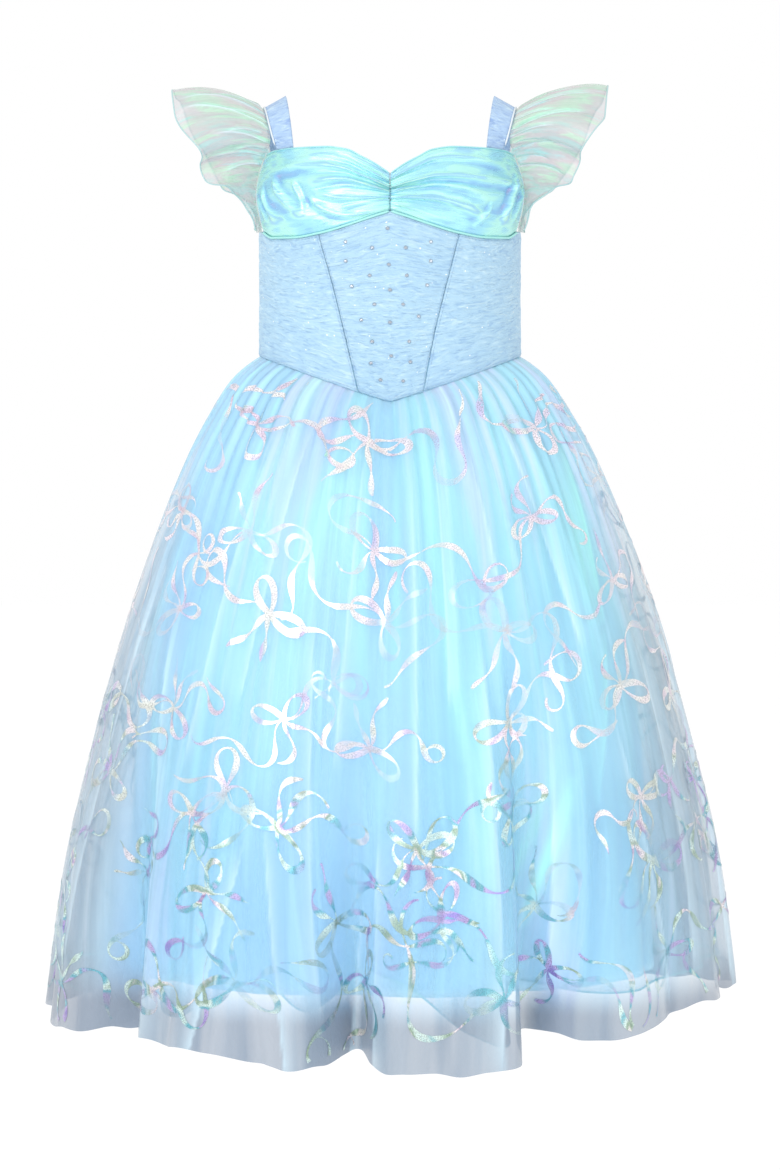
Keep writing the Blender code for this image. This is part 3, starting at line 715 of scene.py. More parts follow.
def cloth_piece(name, grid, material, closed=False, turned=False, wall=0.0, marks=None):
    """Cloth from a grid of points, in quads, its UV map in metres across and along the cloth.

    marks holds named values for the points, which the material reads.
    """
    rows, columns = grid.shape[:2]
    index = np.arange(rows * columns).reshape(rows, columns)
    if closed:
        index = np.concatenate([index, index[:, :1]], axis=1)
    quads = np.stack([index[:-1, :-1], index[:-1, 1:], index[1:, 1:], index[1:, :-1]], axis=-1)
    quads = quads.reshape(-1, 4)
    if turned:
        quads = quads[:, ::-1]
    middle = rows // 2
    steps = np.linalg.norm(np.diff(grid[middle], axis=0), axis=1)
    u = np.concatenate([[0.0], np.cumsum(steps)])
    steps = np.linalg.norm(np.diff(grid[:, columns // 2], axis=0), axis=1)
    v = np.concatenate([[0.0], np.cumsum(steps)])
    u, v = np.meshgrid(u, v)
    uv = np.stack([u.ravel(), v.ravel()], axis=-1)
    piece = mesh_piece(name, grid.reshape(-1, 3), quads, material, uv)
    for key, values in (marks or {}).items():
        mark = piece.data.attributes.new(key, "FLOAT", "POINT")
        mark.data.foreach_set("value", values.astype(np.float32).ravel())
    if wall:
        shell = piece.modifiers.new("wall", "SOLIDIFY")
        shell.thickness = wall
        shell.offset = -1.0
    return piece


def ring_cord(name, path, radius, material, sides=6):
    """A round cord along a path that closes on itself: a circle about each point, upright."""
    count = len(path)
    ahead = unit(np.roll(path, -1, axis=0) - np.roll(path, 1, axis=0))
    side = unit(np.cross(ahead, np.array([0.0, 0.0, 1.0])))
    lift = unit(np.cross(side, ahead))
    turn = np.linspace(0, 2 * np.pi, sides, endpoint=False)
    ring = side[:, None] * np.cos(turn)[None, :, None] + lift[:, None] * np.sin(turn)[None, :, None]
    index = np.arange(count * sides).reshape(count, sides)
    after = np.roll(index, -1, axis=1)
    quads = np.stack([index, after, np.roll(after, -1, axis=0), np.roll(index, -1, axis=0)], axis=-1)
    points = path[:, None] + ring * radius
    return mesh_piece(name, points.reshape(-1, 3), quads.reshape(-1, 4), material)


def tube(name, paths, outs, radius, material, sides=8):
    """Round cords along paths: a circle about each point, square to the path, with domed ends."""
    all_points = []
    all_faces = []
    base = 0
    turn = np.linspace(0, 2 * np.pi, sides, endpoint=False)
    for path, out in zip(paths, outs):
        ahead = unit(np.gradient(path, axis=0))
        side = unit(np.cross(ahead, out))
        lift = unit(np.cross(side, ahead))
        size = np.full(len(path), radius)
        size[[0, -1]] = radius * 0.45
        ring = side[:, None] * np.cos(turn)[None, :, None] + lift[:, None] * np.sin(turn)[None, :, None]
        points = path[:, None] + ring * size[:, None, None]
        count = len(path)
        index = base + np.arange(count * sides).reshape(count, sides)
        after = np.roll(index, -1, axis=1)
        quads = np.stack([index[:-1], after[:-1], after[1:], index[1:]], axis=-1).reshape(-1, 4)
        ends = base + count * sides + np.array([0, 1])
        caps = np.concatenate([
            np.stack([after[0], index[0], np.full(sides, ends[0]), np.full(sides, ends[0])], axis=-1),
            np.stack([index[-1], after[-1], np.full(sides, ends[1]), np.full(sides, ends[1])], axis=-1),
        ])
        tips = np.stack([path[0] - ahead[0] * radius * 0.4, path[-1] + ahead[-1] * radius * 0.4])
        all_points.append(np.concatenate([points.reshape(-1, 3), tips]))
        all_faces.append((quads, caps[:, :3]))
        base += count * sides + 2
    points = np.concatenate(all_points)
    faces = [f for quads, caps in all_faces for part in (quads, caps) for f in part.tolist()]
    mesh = bpy.data.meshes.new(name)
    mesh.from_pydata(points.tolist(), [], faces)
    mesh.polygons.foreach_set("use_smooth", np.full(len(mesh.polygons), True))
    mesh.materials.append(material)
    piece = bpy.data.objects.new(name, mesh)
    bpy.context.scene.collection.objects.link(piece)
    return piece


class Wire:
    """A socket's output as a value: sums with it add Math nodes."""

    def __init__(self, cloth, socket):
        self.cloth = cloth
        self.socket = socket

    def sum(self, operation, *others):
        """Math node of this value and the others."""
        node = self.cloth.node("ShaderNodeMath", {"operation": operation})
        for place, value in enumerate((self, *others)):
            self.cloth.feed(node.inputs[place], value)
        return Wire(self.cloth, node.outputs[0])

    def __add__(self, other):
        return self.sum("ADD", other)

    __radd__ = __add__

    def __mul__(self, other):
        return self.sum("MULTIPLY", other)

    __rmul__ = __mul__

    def __sub__(self, other):
        return self.sum("SUBTRACT", other)

    def __rsub__(self, other):
        return (self * -1.0) + other

    def __truediv__(self, other):
        return self.sum("DIVIDE", other)

    def __pow__(self, other):
        return self.sum("POWER", other)

    def within(self, low, high):
        """Nought below low, one above high, eased between them."""
        node = self.cloth.node("ShaderNodeMapRange", {"interpolation_type": "SMOOTHSTEP"},
                               Value=self, **{"From Min": low, "From Max": high})
        return Wire(self.cloth, node.outputs["Result"])


class Finish:
    """A material on one Principled shader, with a method for each kind of node it uses."""

    def __init__(self, name, **sockets):
        self.material = bpy.data.materials.new(name)
        self.material.use_nodes = True
        self.tree = self.material.node_tree
        self.shader = self.tree.nodes["Principled BSDF"]
        self.set(**sockets)

    def feed(self, socket, value):
        """Links a wire to a socket, or sets its plain value."""
        if isinstance(value, Wire):
            self.tree.links.new(value.socket, socket)
        else:
            socket.default_value = value

    def node(self, kind, settings=None, **sockets):
        """A node of a type, with its settings, then its sockets' values or links."""
        node = self.tree.nodes.new(kind)
        for key, value in (settings or {}).items():
            if key == "stops":
                ramp = node.color_ramp
                ramp.interpolation = "EASE"
                while len(ramp.elements) < len(value):
                    ramp.elements.new(0.5)
                for stop, (place, colour) in zip(ramp.elements, value):
                    stop.position = place
                    stop.color = (*colour, 1.0)
            else:
                setattr(node, key, value)
        for key, value in sockets.items():
            self.feed(node.inputs[key.replace("_", " ")], value)
        return node

    def set(self, **sockets):
        """Values or links of the shader's own sockets."""
        for key, value in sockets.items():
            self.feed(self.shader.inputs[key.replace("_", " ")], value)

    def where(self, source="Object", scale=(1.0, 1.0, 1.0), turn=(0.0, 0.0, 0.0)):
        """Object or UV coordinates, scaled and turned."""
        place = self.node("ShaderNodeTexCoord")
        mapping = self.node("ShaderNodeMapping", None, Scale=scale, Rotation=turn,
                            Vector=Wire(self, place.outputs[source]))
        return Wire(self, mapping.outputs[0])

    def axis(self, place, letter):
        """One coordinate of a place."""
        node = self.node("ShaderNodeSeparateXYZ", None, Vector=place)
        return Wire(self, node.outputs[letter])

    def cloud(self, place, scale, detail=3.0, rough=0.5, twist=0.0):
        """Soft noise from nought to one."""
        node = self.node("ShaderNodeTexNoise", None, Vector=place, Scale=scale, Detail=detail,
                         Roughness=rough, Distortion=twist)
        return Wire(self, node.outputs["Fac"])

    def ramp(self, value, *stops):
        """Colour by a value through stops of place and colour."""
        node = self.node("ShaderNodeValToRGB", {"stops": stops}, Fac=value)
        return Wire(self, node.outputs["Color"])

    def blend(self, first, second, share):
        """Two colours mixed by a share."""
        node = self.node("ShaderNodeMix", {"data_type": "RGBA"})
        self.feed(node.inputs[0], share)
        self.feed(node.inputs[6], first)
        self.feed(node.inputs[7], second)
        return Wire(self, node.outputs[2])

    def bump(self, height, distance, strength=1.0):
        """Relief of the surface from a height."""
        node = self.node("ShaderNodeBump", None, Height=height, Distance=distance,
                         Strength=strength)
        self.set(Normal=Wire(self, node.outputs[0]))

    def mark(self, name):
        """A value that the cloth's points carry."""
        node = self.node("ShaderNodeAttribute", {"attribute_name": name})
        return Wire(self, node.outputs["Fac"])

    def weave(self, threads):
        """Plain weave of crossing threads on the UV map, from nought to one."""
        place = self.where("UV", (threads, threads, 1.0))
        across = self.axis(place, "X").sum("SINE")
        along = self.axis(place, "Y").sum("SINE")
        return (across * along) * 0.5 + 0.5


def rgb(red, green, blue):
    """Linear colour of cloth that looks like the screen values 0 to 255 in the studio's light."""
    share = np.array([red, green, blue]) / 255.0
    line = np.where(share <= 0.04045, share / 12.92, ((share + 0.055) / 1.055) ** 2.4)
    return tuple(float(v) for v in line / STUDIO_LIGHT)


def lit(red, green, blue):
    """Linear colour of an inner cloth, undimmed, because the layers about it keep light off."""
    return tuple(v * STUDIO_LIGHT for v in rgb(red, green, blue))


def full(colour):
    """Colour with full cover."""
    return (*colour, 1.0)


def crinkled_blue(name, tones):
    """Pale blue stretch cloth with fine level crinkles, a faint weave and specks of glitter; the crinkles'
    height also sets its colour, with painted shade in their troughs and painted light on their crests.
    """
    cloth = Finish(name, Roughness=0.62, Sheen_Weight=0.12, Sheen_Roughness=0.5)
    place = cloth.where("UV", (1.0, 1.0, 1.0))
    ripple = cloth.cloud(cloth.where("UV", (110.0, 620.0, 1.0)), 1.0, 3.0, 0.55, 0.8)
    coarse = cloth.cloud(cloth.where("UV", (60.0, 260.0, 1.0)), 1.0, 2.0, 0.5, 1.8)
    crinkle = ripple * 0.35 + coarse * 0.65
    tone = cloth.cloud(place, 14.0, 2.0)
    # Colour by the crinkles' height, with a little random tone: painted shade in the troughs, painted light
    # on the crests
    colour = cloth.ramp(crinkle * 0.85 + tone * 0.15, (0.34, tones[0]), (0.5, tones[1]),
                        (0.64, tones[2]))
    speck = cloth.node("ShaderNodeTexVoronoi", {"feature": "F1"}, Vector=place, Scale=330.0)
    glint = Wire(cloth, speck.outputs["Distance"])
    chance = cloth.axis(Wire(cloth, speck.outputs["Color"]), "X")
    dot = (1.0 - glint.within(0.12, 0.22)) * chance.within(0.935, 0.94)
    cloth.set(Base_Color=cloth.blend(colour, full((1.0, 1.0, 1.0)), dot))
    cloth.set(Roughness=0.62 - dot * 0.4)
    cloth.bump(crinkle + cloth.weave(9000.0) * 0.05, 0.0022, 0.9)
    return cloth.material


def draped_lame(name):
    """Iridescent foil satin in broad drifts of sky, mint and violet; the creases' height adds painted
    sheen, mint, on their ridges and painted shade, sky and violet, in their troughs.
    """
    cloth = Finish(name, Metallic=0.4, Roughness=0.26, Coat_Weight=0.4, Coat_Roughness=0.18)
    patch = cloth.cloud(cloth.where("UV", (0.7, 1.5, 1.0), (0.0, 0.0, 0.25)), 17.0, 2.0, 0.45, 1.2)
    fine = cloth.cloud(cloth.where("UV", (0.5, 2.2, 1.0), (0.0, 0.0, 0.2)), 60.0, 3.0, 0.5, 1.0)
    # Random drifts of colour plus the creases' height: painted sheen on the ridges, painted shade in the
    # troughs
    drift_and_painted_shade = patch * 0.72 + fine * 0.22 + cloth.mark("relief") * 0.11 + 0.03
    colour = cloth.ramp(drift_and_painted_shade,
                        (0.26, rgb(176, 192, 242)), (0.35, rgb(150, 208, 250)),
                        (0.43, rgb(170, 236, 254)), (0.51, rgb(192, 255, 246)),
                        (0.58, rgb(166, 224, 252)), (0.67, rgb(200, 255, 240)),
                        (0.76, rgb(176, 214, 250)))
    cloth.set(Base_Color=colour, Roughness=0.2 + fine * 0.16)
    wrinkle = cloth.cloud(cloth.where("UV", (0.5, 3.6, 1.0), (0.0, 0.0, 0.12)), 48.0, 3.0, 0.45, 0.8)
    cloth.bump(wrinkle + cloth.weave(9000.0) * 0.03, 0.0024, 0.5)
    return cloth.material


def sheer_cloth(name, tones, cover, streak, shiny=0.34, grain=1.0, skirt=1.0):
    """Sheer iridescent cloth: its colour drifts, and it covers more on the flanks of its folds and where it
    lies double, where it is also painted paler as painted sheen.

    Below the lining's hem and out at the sides, with no lining behind, it is painted a plain grey blue, and
    lower down over the lining a deeper blue: both are painted shade.
    """
    cloth = Finish(name, Roughness=shiny, Specular_IOR_Level=0.7, Sheen_Weight=0.15,
                   Coat_Weight=0.25, Coat_Roughness=0.22)
    broad = cloth.cloud(cloth.where("UV", (1.0, 0.22, 1.0)), 7.0 * grain, 2.0, 0.45, 0.8)
    fine = cloth.cloud(cloth.where("UV", (1.0, 0.05 * grain, 1.0)), 60.0 * grain, 3.0, 0.5, 0.4)
    colour = cloth.ramp(broad * 0.7 + fine * 0.3, *tones)
    place = cloth.where("Object")
    height = cloth.axis(place, "Z")
    edge = 0.15 - height * 0.11
    low = 1.0 - height.within(-0.755, -0.715)
    wide = (cloth.axis(place, "X").sum("ABSOLUTE") - edge).within(-0.03, 0.035)
    glow = cloth.mark("glow")
    # Painted shade: below the lining's hem and out at the sides the cloth is painted grey blue, in place of
    # the light that the lining gives back elsewhere
    bare_painted_shade = low * (1.0 - glow) * skirt
    side = wide * (1.0 - glow) * (0.75 * skirt)
    # Painted shade: a deeper blue lower down the skirt, above the lining's hem
    deep_painted_shade = (1.0 - height.within(-0.72, -0.30)) * (0.50 * skirt)
    colour = cloth.blend(colour, full(lit(142, 196, 240)), deep_painted_shade)
    colour = cloth.blend(colour, full(rgb(190, 202, 214)), side)
    colour = cloth.blend(colour, full(rgb(138, 150, 168)), bare_painted_shade * 0.92)
    # Painted glints: bright mint along the streaks, covering more and never turned grey
    colour = cloth.blend(colour, full(lit(160, 255, 228)), glow * 0.9)
    # Where the cloth lies double it covers more, and it is painted paler there as painted sheen along the
    # fold edges
    double = cloth.mark("double")
    colour = cloth.blend(colour, full(lit(214, 240, 252)), double * 0.55)
    threads = cloth.weave(7000.0)
    veil = cover + low * (0.44 * skirt) + side * 0.10 + fine.within(0.45, 0.75) * streak
    cloth.set(Base_Color=colour)
    cloth.set(Alpha=veil + cloth.mark("slant") * 0.3 + glow * 0.4 + double * 0.28 + threads * 0.05)
    crinkle = cloth.cloud(cloth.where("UV", (1.0, 0.45, 1.0)), 150.0, 4.0, 0.6, 1.2)
    cloth.bump(fine * 0.7 + crinkle * 0.5 + threads * 0.1, 0.0018, 0.55)
    return cloth.material


def satin_lining(name):
    """Smooth light blue lining with faint upright shading."""
    cloth = Finish(name, Roughness=0.45, Sheen_Weight=0.15, Specular_IOR_Level=0.4)
    streak = cloth.cloud(cloth.where("UV", (1.0, 0.08, 1.0)), 34.0, 3.0, 0.5, 0.4)
    colour = cloth.ramp(streak, (0.3, lit(172, 224, 254)), (0.55, lit(190, 238, 255)),
                        (0.75, lit(200, 250, 255)))
    cloth.set(Base_Color=colour)
    cloth.bump(streak + cloth.weave(6000.0) * 0.05, 0.0014, 0.4)
    return cloth.material


def foil_print(name):
    """Iridescent foil: white and pink high on the skirt, violet, teal, olive and silver below; this change
    with height is painted reflection, lighter where more light falls.
    """
    foil = Finish(name, Metallic=0.45, Roughness=0.24, Coat_Weight=0.5, Coat_Roughness=0.15)
    place = foil.where("Object")
    patch = foil.cloud(place, 24.0, 1.5, 0.5, 1.0)
    high = foil.ramp(patch, (0.30, rgb(214, 206, 240)), (0.44, rgb(255, 240, 248)),
                     (0.56, rgb(255, 250, 246)), (0.68, rgb(236, 214, 232)),
                     (0.80, rgb(176, 236, 224)))
    low = foil.ramp(patch, (0.28, rgb(154, 136, 214)), (0.38, rgb(196, 180, 230)),
                    (0.45, rgb(112, 190, 208)), (0.52, rgb(222, 246, 240)),
                    (0.58, rgb(158, 186, 164)), (0.64, rgb(252, 244, 246)),
                    (0.73, rgb(170, 146, 200)), (0.84, rgb(248, 226, 244)))
    # Painted reflection: the foil is painted whiter and pinker high on the skirt and in deeper tints lower
    # down
    height = foil.axis(place, "Z") + foil.cloud(place, 9.0, 1.0) * 0.40
    foil.set(Base_Color=foil.blend(low, high, height.within(-0.44, -0.24)))
    worn = foil.cloud(place, 900.0, 2.0, 0.6)
    faint = foil.cloud(place, 16.0, 2.0, 0.5)
    foil.set(Alpha=(0.70 + worn.within(0.42, 0.58) * 0.30) * (0.22 + faint.within(0.36, 0.52) * 0.78))
    foil.set(Roughness=0.16 + worn * 0.25)
    return foil.material


def plain(name, colour, roughness, **sockets):
    """Simple finish for cords and thread, with a little unevenness."""
    cord = Finish(name, **sockets)
    grain = cord.cloud(cord.where("Object"), 1400.0, 2.0)
    cord.set(Base_Color=cord.blend(full(tuple(0.88 * c for c in colour)), full(colour), grain))
    cord.set(Roughness=roughness + grain * 0.1)
    cord.bump(grain, 0.0003, 0.5)
    return cord.material


blue_cloth = crinkled_blue("crinkled_blue_cloth", (
    rgb(160, 200, 236), rgb(184, 222, 247), rgb(206, 238, 255)))
strap_cloth = crinkled_blue("strap_cloth", (
    rgb(152, 184, 232), rgb(182, 212, 246), rgb(210, 236, 254)))
lame = draped_lame("iridescent_lame")
organza = sheer_cloth("overskirt_organza", (
    (0.30, lit(196, 210, 250)), (0.42, lit(186, 226, 253)), (0.52, lit(182, 236, 255)),
    (0.62, lit(208, 222, 252)), (0.74, lit(210, 250, 254))), 0.28, 0.24)
aqua_film = sheer_cloth("aqua_film", (
    (0.32, lit(152, 206, 254)), (0.46, lit(164, 230, 255)), (0.56, lit(180, 250, 248)),
    (0.68, lit(160, 218, 255)), (0.80, lit(192, 255, 246))), 0.22, 0.40, 0.26)
wing_organza = sheer_cloth("wing_organza", (
    (0.30, rgb(206, 198, 206)), (0.39, rgb(176, 222, 220)), (0.46, rgb(206, 204, 208)),
    (0.53, rgb(192, 232, 206)), (0.60, rgb(214, 202, 208)), (0.68, rgb(180, 234, 236)),
    (0.78, rgb(210, 226, 200))), 0.42, 0.30, 0.22, 3.2, 0.0)
lining_satin = satin_lining("lining_satin")
foil = foil_print("bow_foil")
mint_cord = plain("mint_piping", rgb(176, 246, 240), 0.3, Coat_Weight=0.3)
white_cord = plain("white_piping", rgb(238, 246, 252), 0.4)
aqua_edge = plain("rolled_aqua_edge", rgb(178, 244, 250), 0.3, Coat_Weight=0.3)
pale_edge = plain("rolled_pale_edge", rgb(190, 224, 226), 0.35, Coat_Weight=0.2)
stone = plain("clear_stone", (0.55, 0.59, 0.65), 0.05, Metallic=0.95)


def dressed(piece, *nodes, slot):
    """Rides a piece on the one body, in place of its solids; its slot is not used."""
    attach(piece, "root")
    if nodes:
        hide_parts(*nodes)
    return piece


def ribbon_paths():
    """Bows with curling streamers, by rules of their own: two loops, two tails, two streamers.

    Each path gives its place round the skirt and down it, its points in metres on the cloth
    and a half width for each point. Widths swell and shrink as in brush lettering.
    """
    chance = np.random.default_rng(404)
    motifs = []
    for row, (down, count) in enumerate(((0.09, 8), (0.22, 10), (0.36, 12), (0.50, 14),
                                         (0.64, 15), (0.78, 16), (0.91, 17))):
        for k in range(count):
            around_skirt = (k + 0.5 * (row % 2) + chance.uniform(-0.20, 0.20)) / count
            motifs.append((around_skirt, down + chance.uniform(-0.03, 0.03),
                           chance.uniform(-0.9, 0.9) + np.pi * (k % 2), chance.uniform(0.85, 1.2)))
    t = np.linspace(0.0, 1.0, 44)
    paths = []
    for place, down, turn, size in motifs:
        for way in (0.45, np.pi - 0.45):
            length = size * chance.uniform(0.024, 0.034)
            open_by = chance.uniform(0.9, 1.5)
            heading = turn + way + open_by * (t - 0.5)
            reach = length * np.sin(np.pi * t) ** 0.8
            points = np.stack([reach * np.cos(heading), reach * np.sin(heading)], axis=-1)
            swell = 0.0008 + 0.0021 * np.abs(np.sin(1.6 * np.pi * t + chance.uniform(0, 3))) ** 1.6
            paths.append((place, down, points, swell * size))
        for way, long in ((-1.2, 0.040), (-1.95, 0.046), (chance.uniform(-0.5, 0.5), 0.150),
                          (np.pi + chance.uniform(-0.5, 0.5), 0.120)):
            length = size * long * chance.uniform(0.85, 1.25)
            streamer = long > 0.1
            wind = chance.uniform(0.9, 1.4) if streamer else chance.uniform(0.4, 0.8)
            bends = chance.uniform(1.2, 1.7) if streamer else 0.8
            curl = chance.choice([-1.0, 1.0]) * (chance.uniform(2.0, 5.0) if streamer else 0.9)
            heading = turn + way + wind * np.sin(2 * np.pi * bends * t) + curl * t ** 3
            step = length / len(t)
            points = np.cumsum(step * np.stack([np.cos(heading), np.sin(heading)], axis=-1), axis=0)
            wave = 3.4 if streamer else 1.5
            swell = 0.0006 + 0.0022 * np.abs(np.sin(wave * np.pi * t + chance.uniform(0, 3))) ** 1.7
            swell = swell * np.sin(np.pi * (0.04 + 0.94 * t)) ** 0.4
            paths.append((place, down, points, swell * size))
    return paths


def print_on(grid, paths, lift):
    """Foil ribbons on a tube of cloth: each path's points are carried over by the cloth's steps.

    A ribbon is three points wide; each point is read off the grid between its four neighbours
    and moved out along the cloth's normal.
    """
    rows, columns = grid.shape[:2]
    away = normals(grid, True)
    if (away[rows // 2, :, :2] * grid[rows // 2, :, :2]).sum() < 0:
        away = -away
    places = np.array([[p[0] for p in paths], [p[1] for p in paths]]).T
    i0 = np.clip((places[:, 1] * (rows - 1)).astype(int), 2, rows - 3)
    j0 = (places[:, 0] * columns).astype(int) % columns
    over = np.linalg.norm(grid[i0, (j0 + 4) % columns] - grid[i0, (j0 - 4) % columns], axis=1) / 8
    under = np.linalg.norm(grid[np.minimum(i0 + 2, rows - 1), j0] - grid[i0 - 2, j0], axis=1) / 4
    line = np.array([p[2] for p in paths])
    half = np.array([p[3] for p in paths])
    ahead = unit(np.gradient(line, axis=1))
    side = np.stack([-ahead[..., 1], ahead[..., 0]], axis=-1)
    strip = line[:, :, None] + side[:, :, None] * (half[:, :, None] * np.array([-1.0, 0.0, 1.0]))[..., None]
    j = places[:, 0][:, None, None] * columns + strip[..., 0] / over[:, None, None]
    i = places[:, 1][:, None, None] * (rows - 1) - strip[..., 1] / under[:, None, None]
    keep = (i.min(axis=2) > 1.0) & (i.max(axis=2) < rows - 2.0)
    i = np.clip(i, 0.0, rows - 1.001)
    i_low = np.floor(i).astype(int)
    j_low = np.floor(j).astype(int)
    fi = (i - i_low)[..., None]
    fj = (j - j_low)[..., None]

    def read(field):
        a = field[i_low, j_low % columns] * (1 - fj) + field[i_low, (j_low + 1) % columns] * fj
        b = field[i_low + 1, j_low % columns] * (1 - fj) + field[i_low + 1, (j_low + 1) % columns] * fj
        return a * (1 - fi) + b * fi

    points = read(grid) + read(away) * lift
    count, length = line.shape[:2]
    index = np.arange(count * length * 3).reshape(count, length, 3)
    quads = np.stack([index[:, :-1, :-1], index[:, :-1, 1:], index[:, 1:, 1:], index[:, 1:, :-1]], axis=-1)
    shown = (keep[:, :-1] & keep[:, 1:])[:, :, None].repeat(2, axis=2)
    return points.reshape(-1, 3), quads[shown].reshape(-1, 4)


def outward(points, faces, centre=(0.0, 0.0)):
    """Turns faces over where their normals point in towards the middle of the dress."""
    corner = points[faces]
    face_normal = np.cross(corner[:, 1] - corner[:, 0], corner[:, 2] - corner[:, 0])
    away = corner.mean(axis=1)[:, :2] - np.array(centre)
    inward = (face_normal[:, :2] * away).sum(axis=1) < 0
    faces = faces.copy()
    faces[inward] = faces[inward][:, ::-1]
    return faces


def slant(grid, closed=False):
    """How much each place of a cloth turns its face aside from straight out of the dress."""
    away = normals(grid, closed)
    straight = unit(grid * np.array([1.0, 1.0, 0.0]))
    return np.clip(1 / np.maximum(np.abs((away * straight).sum(axis=-1)), 0.3) - 1, 0.0, 1.2)


def painted_glints_on(cloth_angle, down):
    """Painted mint glints of the film, in streaks: a soft band for each, along a line down the skirt."""
    total = 0.0
    for streak in PAINTED_GLINT_STREAKS:
        share = (down - streak.start) / (streak.end - streak.start)
        line = streak.top + (streak.low - streak.top) * np.clip(share, 0.0, 1.0)
        offset = (cloth_angle - line + 180.0) % 360.0 - 180.0
        if streak.side:
            offset = offset * streak.side
            across = np.exp(-np.maximum(offset, 0.0) / (0.6 * streak.width)) * ease((offset + 0.6) / 0.8)
        else:
            across = np.exp(-(offset / streak.width) ** 2)
        band = across * np.sin(np.pi * np.clip(share, 0.0, 1.0)) ** 0.6
        total = total + streak.strength * band
    return np.clip(total, 0.0, 1.0)


def skirt_marks(grid, downs, shine):
    """Slant, painted glints and double cover at each point of a skirt layer."""
    rows, columns = grid.shape[:2]
    angle = np.degrees(np.arctan2(grid[..., 0], -grid[..., 1]))
    share = downs[:, None] + np.zeros((1, columns))
    double = ridges(angle, share)[1] if shine < 1.0 else 0.0 * share
    return {"slant": slant(grid, True), "glow": shine * painted_glints_on(angle, share), "double": double}


# Skirt, from the inside out
lining_tube = skirt_tube(lining_point, 300, np.linspace(0.0, 1.0, 70))
lining = dressed(cloth_piece("lining_skirt", lining_tube, lining_satin, True, True, 0.0006),
                 "lining_front", "lining_back", slot="lining")
film_tube = skirt_tube(film_point, 480, np.linspace(0.0, 1.0, 110))
film = dressed(cloth_piece("film_skirt", film_tube, aqua_film, True, True,
                           marks=skirt_marks(film_tube, np.linspace(0.0, 1.0, 110), 1.0)),
               "film_layer_front", "film_layer_back", slot="film")
downs = np.concatenate([np.linspace(0.0, 0.06, 13)[:-1], np.linspace(0.06, 1.0, 112)])
skirt_tube_grid = skirt_tube(overskirt_point, 760, downs)
overskirt = dressed(cloth_piece("overskirt_cloth", skirt_tube_grid, organza, True, True,
                                marks=skirt_marks(skirt_tube_grid, downs, 0.7)),
                    "overskirt_front", "overskirt_back", slot="sheer")

even_tube = skirt_tube(overskirt_point, 760, np.linspace(0.0, 1.0, 160))
print_points, print_faces = print_on(even_tube, ribbon_paths(), 0.0004)
bows = dressed(mesh_piece("foil_bows", print_points, outward(print_points, print_faces), foil),
               slot="sheer")


film_hem = dressed(ring_cord("film_hem", film_tube[-1], 0.0009, aqua_edge), slot="film")

# Bodice
gap = np.degrees(SEAM_GAP * 0.5 / 0.090)
centre_grid = panel(lambda h: left_seam(h) + gap, lambda h: right_seam(h) - gap,
                    waist_height, under_cup, 120, 110, 1)
side_left_grid = panel(lambda h: -90.0 + gap + 0 * h, lambda h: left_seam(h) - gap,
                       waist_height, under_cup, 100, 100, 3)
side_right_grid = panel(lambda h: right_seam(h) + gap, lambda h: 90.0 - gap + 0 * h,
                        waist_height, under_cup, 100, 100, 5)
back_grid = panel(lambda h: 90.0 + gap + 0 * h, lambda h: 270.0 - gap + 0 * h,
                  waist_height, back_top, 200, 84, 7)
for word, grid in (("centre_front", centre_grid), ("side_front_left", side_left_grid),
                   ("side_front_right", side_right_grid), ("back_panel", back_grid)):
    dressed(cloth_piece(word + "_cloth", grid, blue_cloth, wall=0.0008),
                           word, slot="bodice")
    middle_row = grid[grid.shape[0] // 2]
    width = np.linalg.norm(np.diff(middle_row, axis=0), axis=1).sum()
    length = np.abs(grid[-1, grid.shape[1] // 2, 2] - grid[0, grid.shape[1] // 2, 2])
    float(width * 1.04)

for side, word, creases, wrinkles in ((-1, "left", LEFT_CREASES, LEFT_WRINKLES),
                                      (1, "right", RIGHT_CREASES, RIGHT_WRINKLES)):
    grid, relief = cup_grid(side, 150, 80, creases)
    dressed(cloth_piece(f"cup_{word}_cloth", grid, lame, turned=side < 0, wall=0.0008,
                                     marks={"relief": relief}),
                         f"cup_{word}", slot="cups")
    strap = strap_grid(side, 10, 70)
    band = dressed(cloth_piece(f"strap_{word}_cloth", strap, strap_cloth, turned=side < 0, wall=0.0008),
                   f"strap_{word}", slot="bodice")
    wing, wing_marks = ruffle_grid(side, 400, 70, wrinkles)
    wing_marks["slant"] = 0.5 * slant(wing)
    sleeve = dressed(cloth_piece(f"sleeve_{word}_cloth", wing, wing_organza, turned=side > 0,
                                 marks=wing_marks), f"sleeve_{word}", slot="ruffle")
    free = wing[-1]
    sleeve_edge = dressed(tube(f"sleeve_{word}_edge", [free[3:-3]], [normals(wing)[-1][3:-3]],
                               0.0006, pale_edge, 6), slot="ruffle")
    # Piping along the cup's lower edge and the strap's outer edge, a thin rim on the cup's top
    across = np.linspace(0.5, 73.0, 90)
    lower = torso(side * across, cup_edge("bottom", across) + 0.0002, 0.0006)
    upper = torso(side * across, cup_edge("top", across) - 0.0004, -0.0003)
    out = torso(side * across, cup_edge("top", across)) * np.array([1.0, 1.0, 0.0])
    dressed(tube(f"cup_{word}_piping", [lower], [out], 0.0010, mint_cord), slot="cups")
    dressed(tube(f"cup_{word}_rim", [upper], [out], 0.0006, aqua_edge, 6), slot="cups")
    edge = strap[2:-2, -1] + normals(strap)[2:-2, -1] * (0.0003 * side)
    dressed(tube(f"strap_{word}_piping", [edge], [normals(strap)[2:-2, -1] * side], 0.0008,
                 white_cord), slot="bodice")


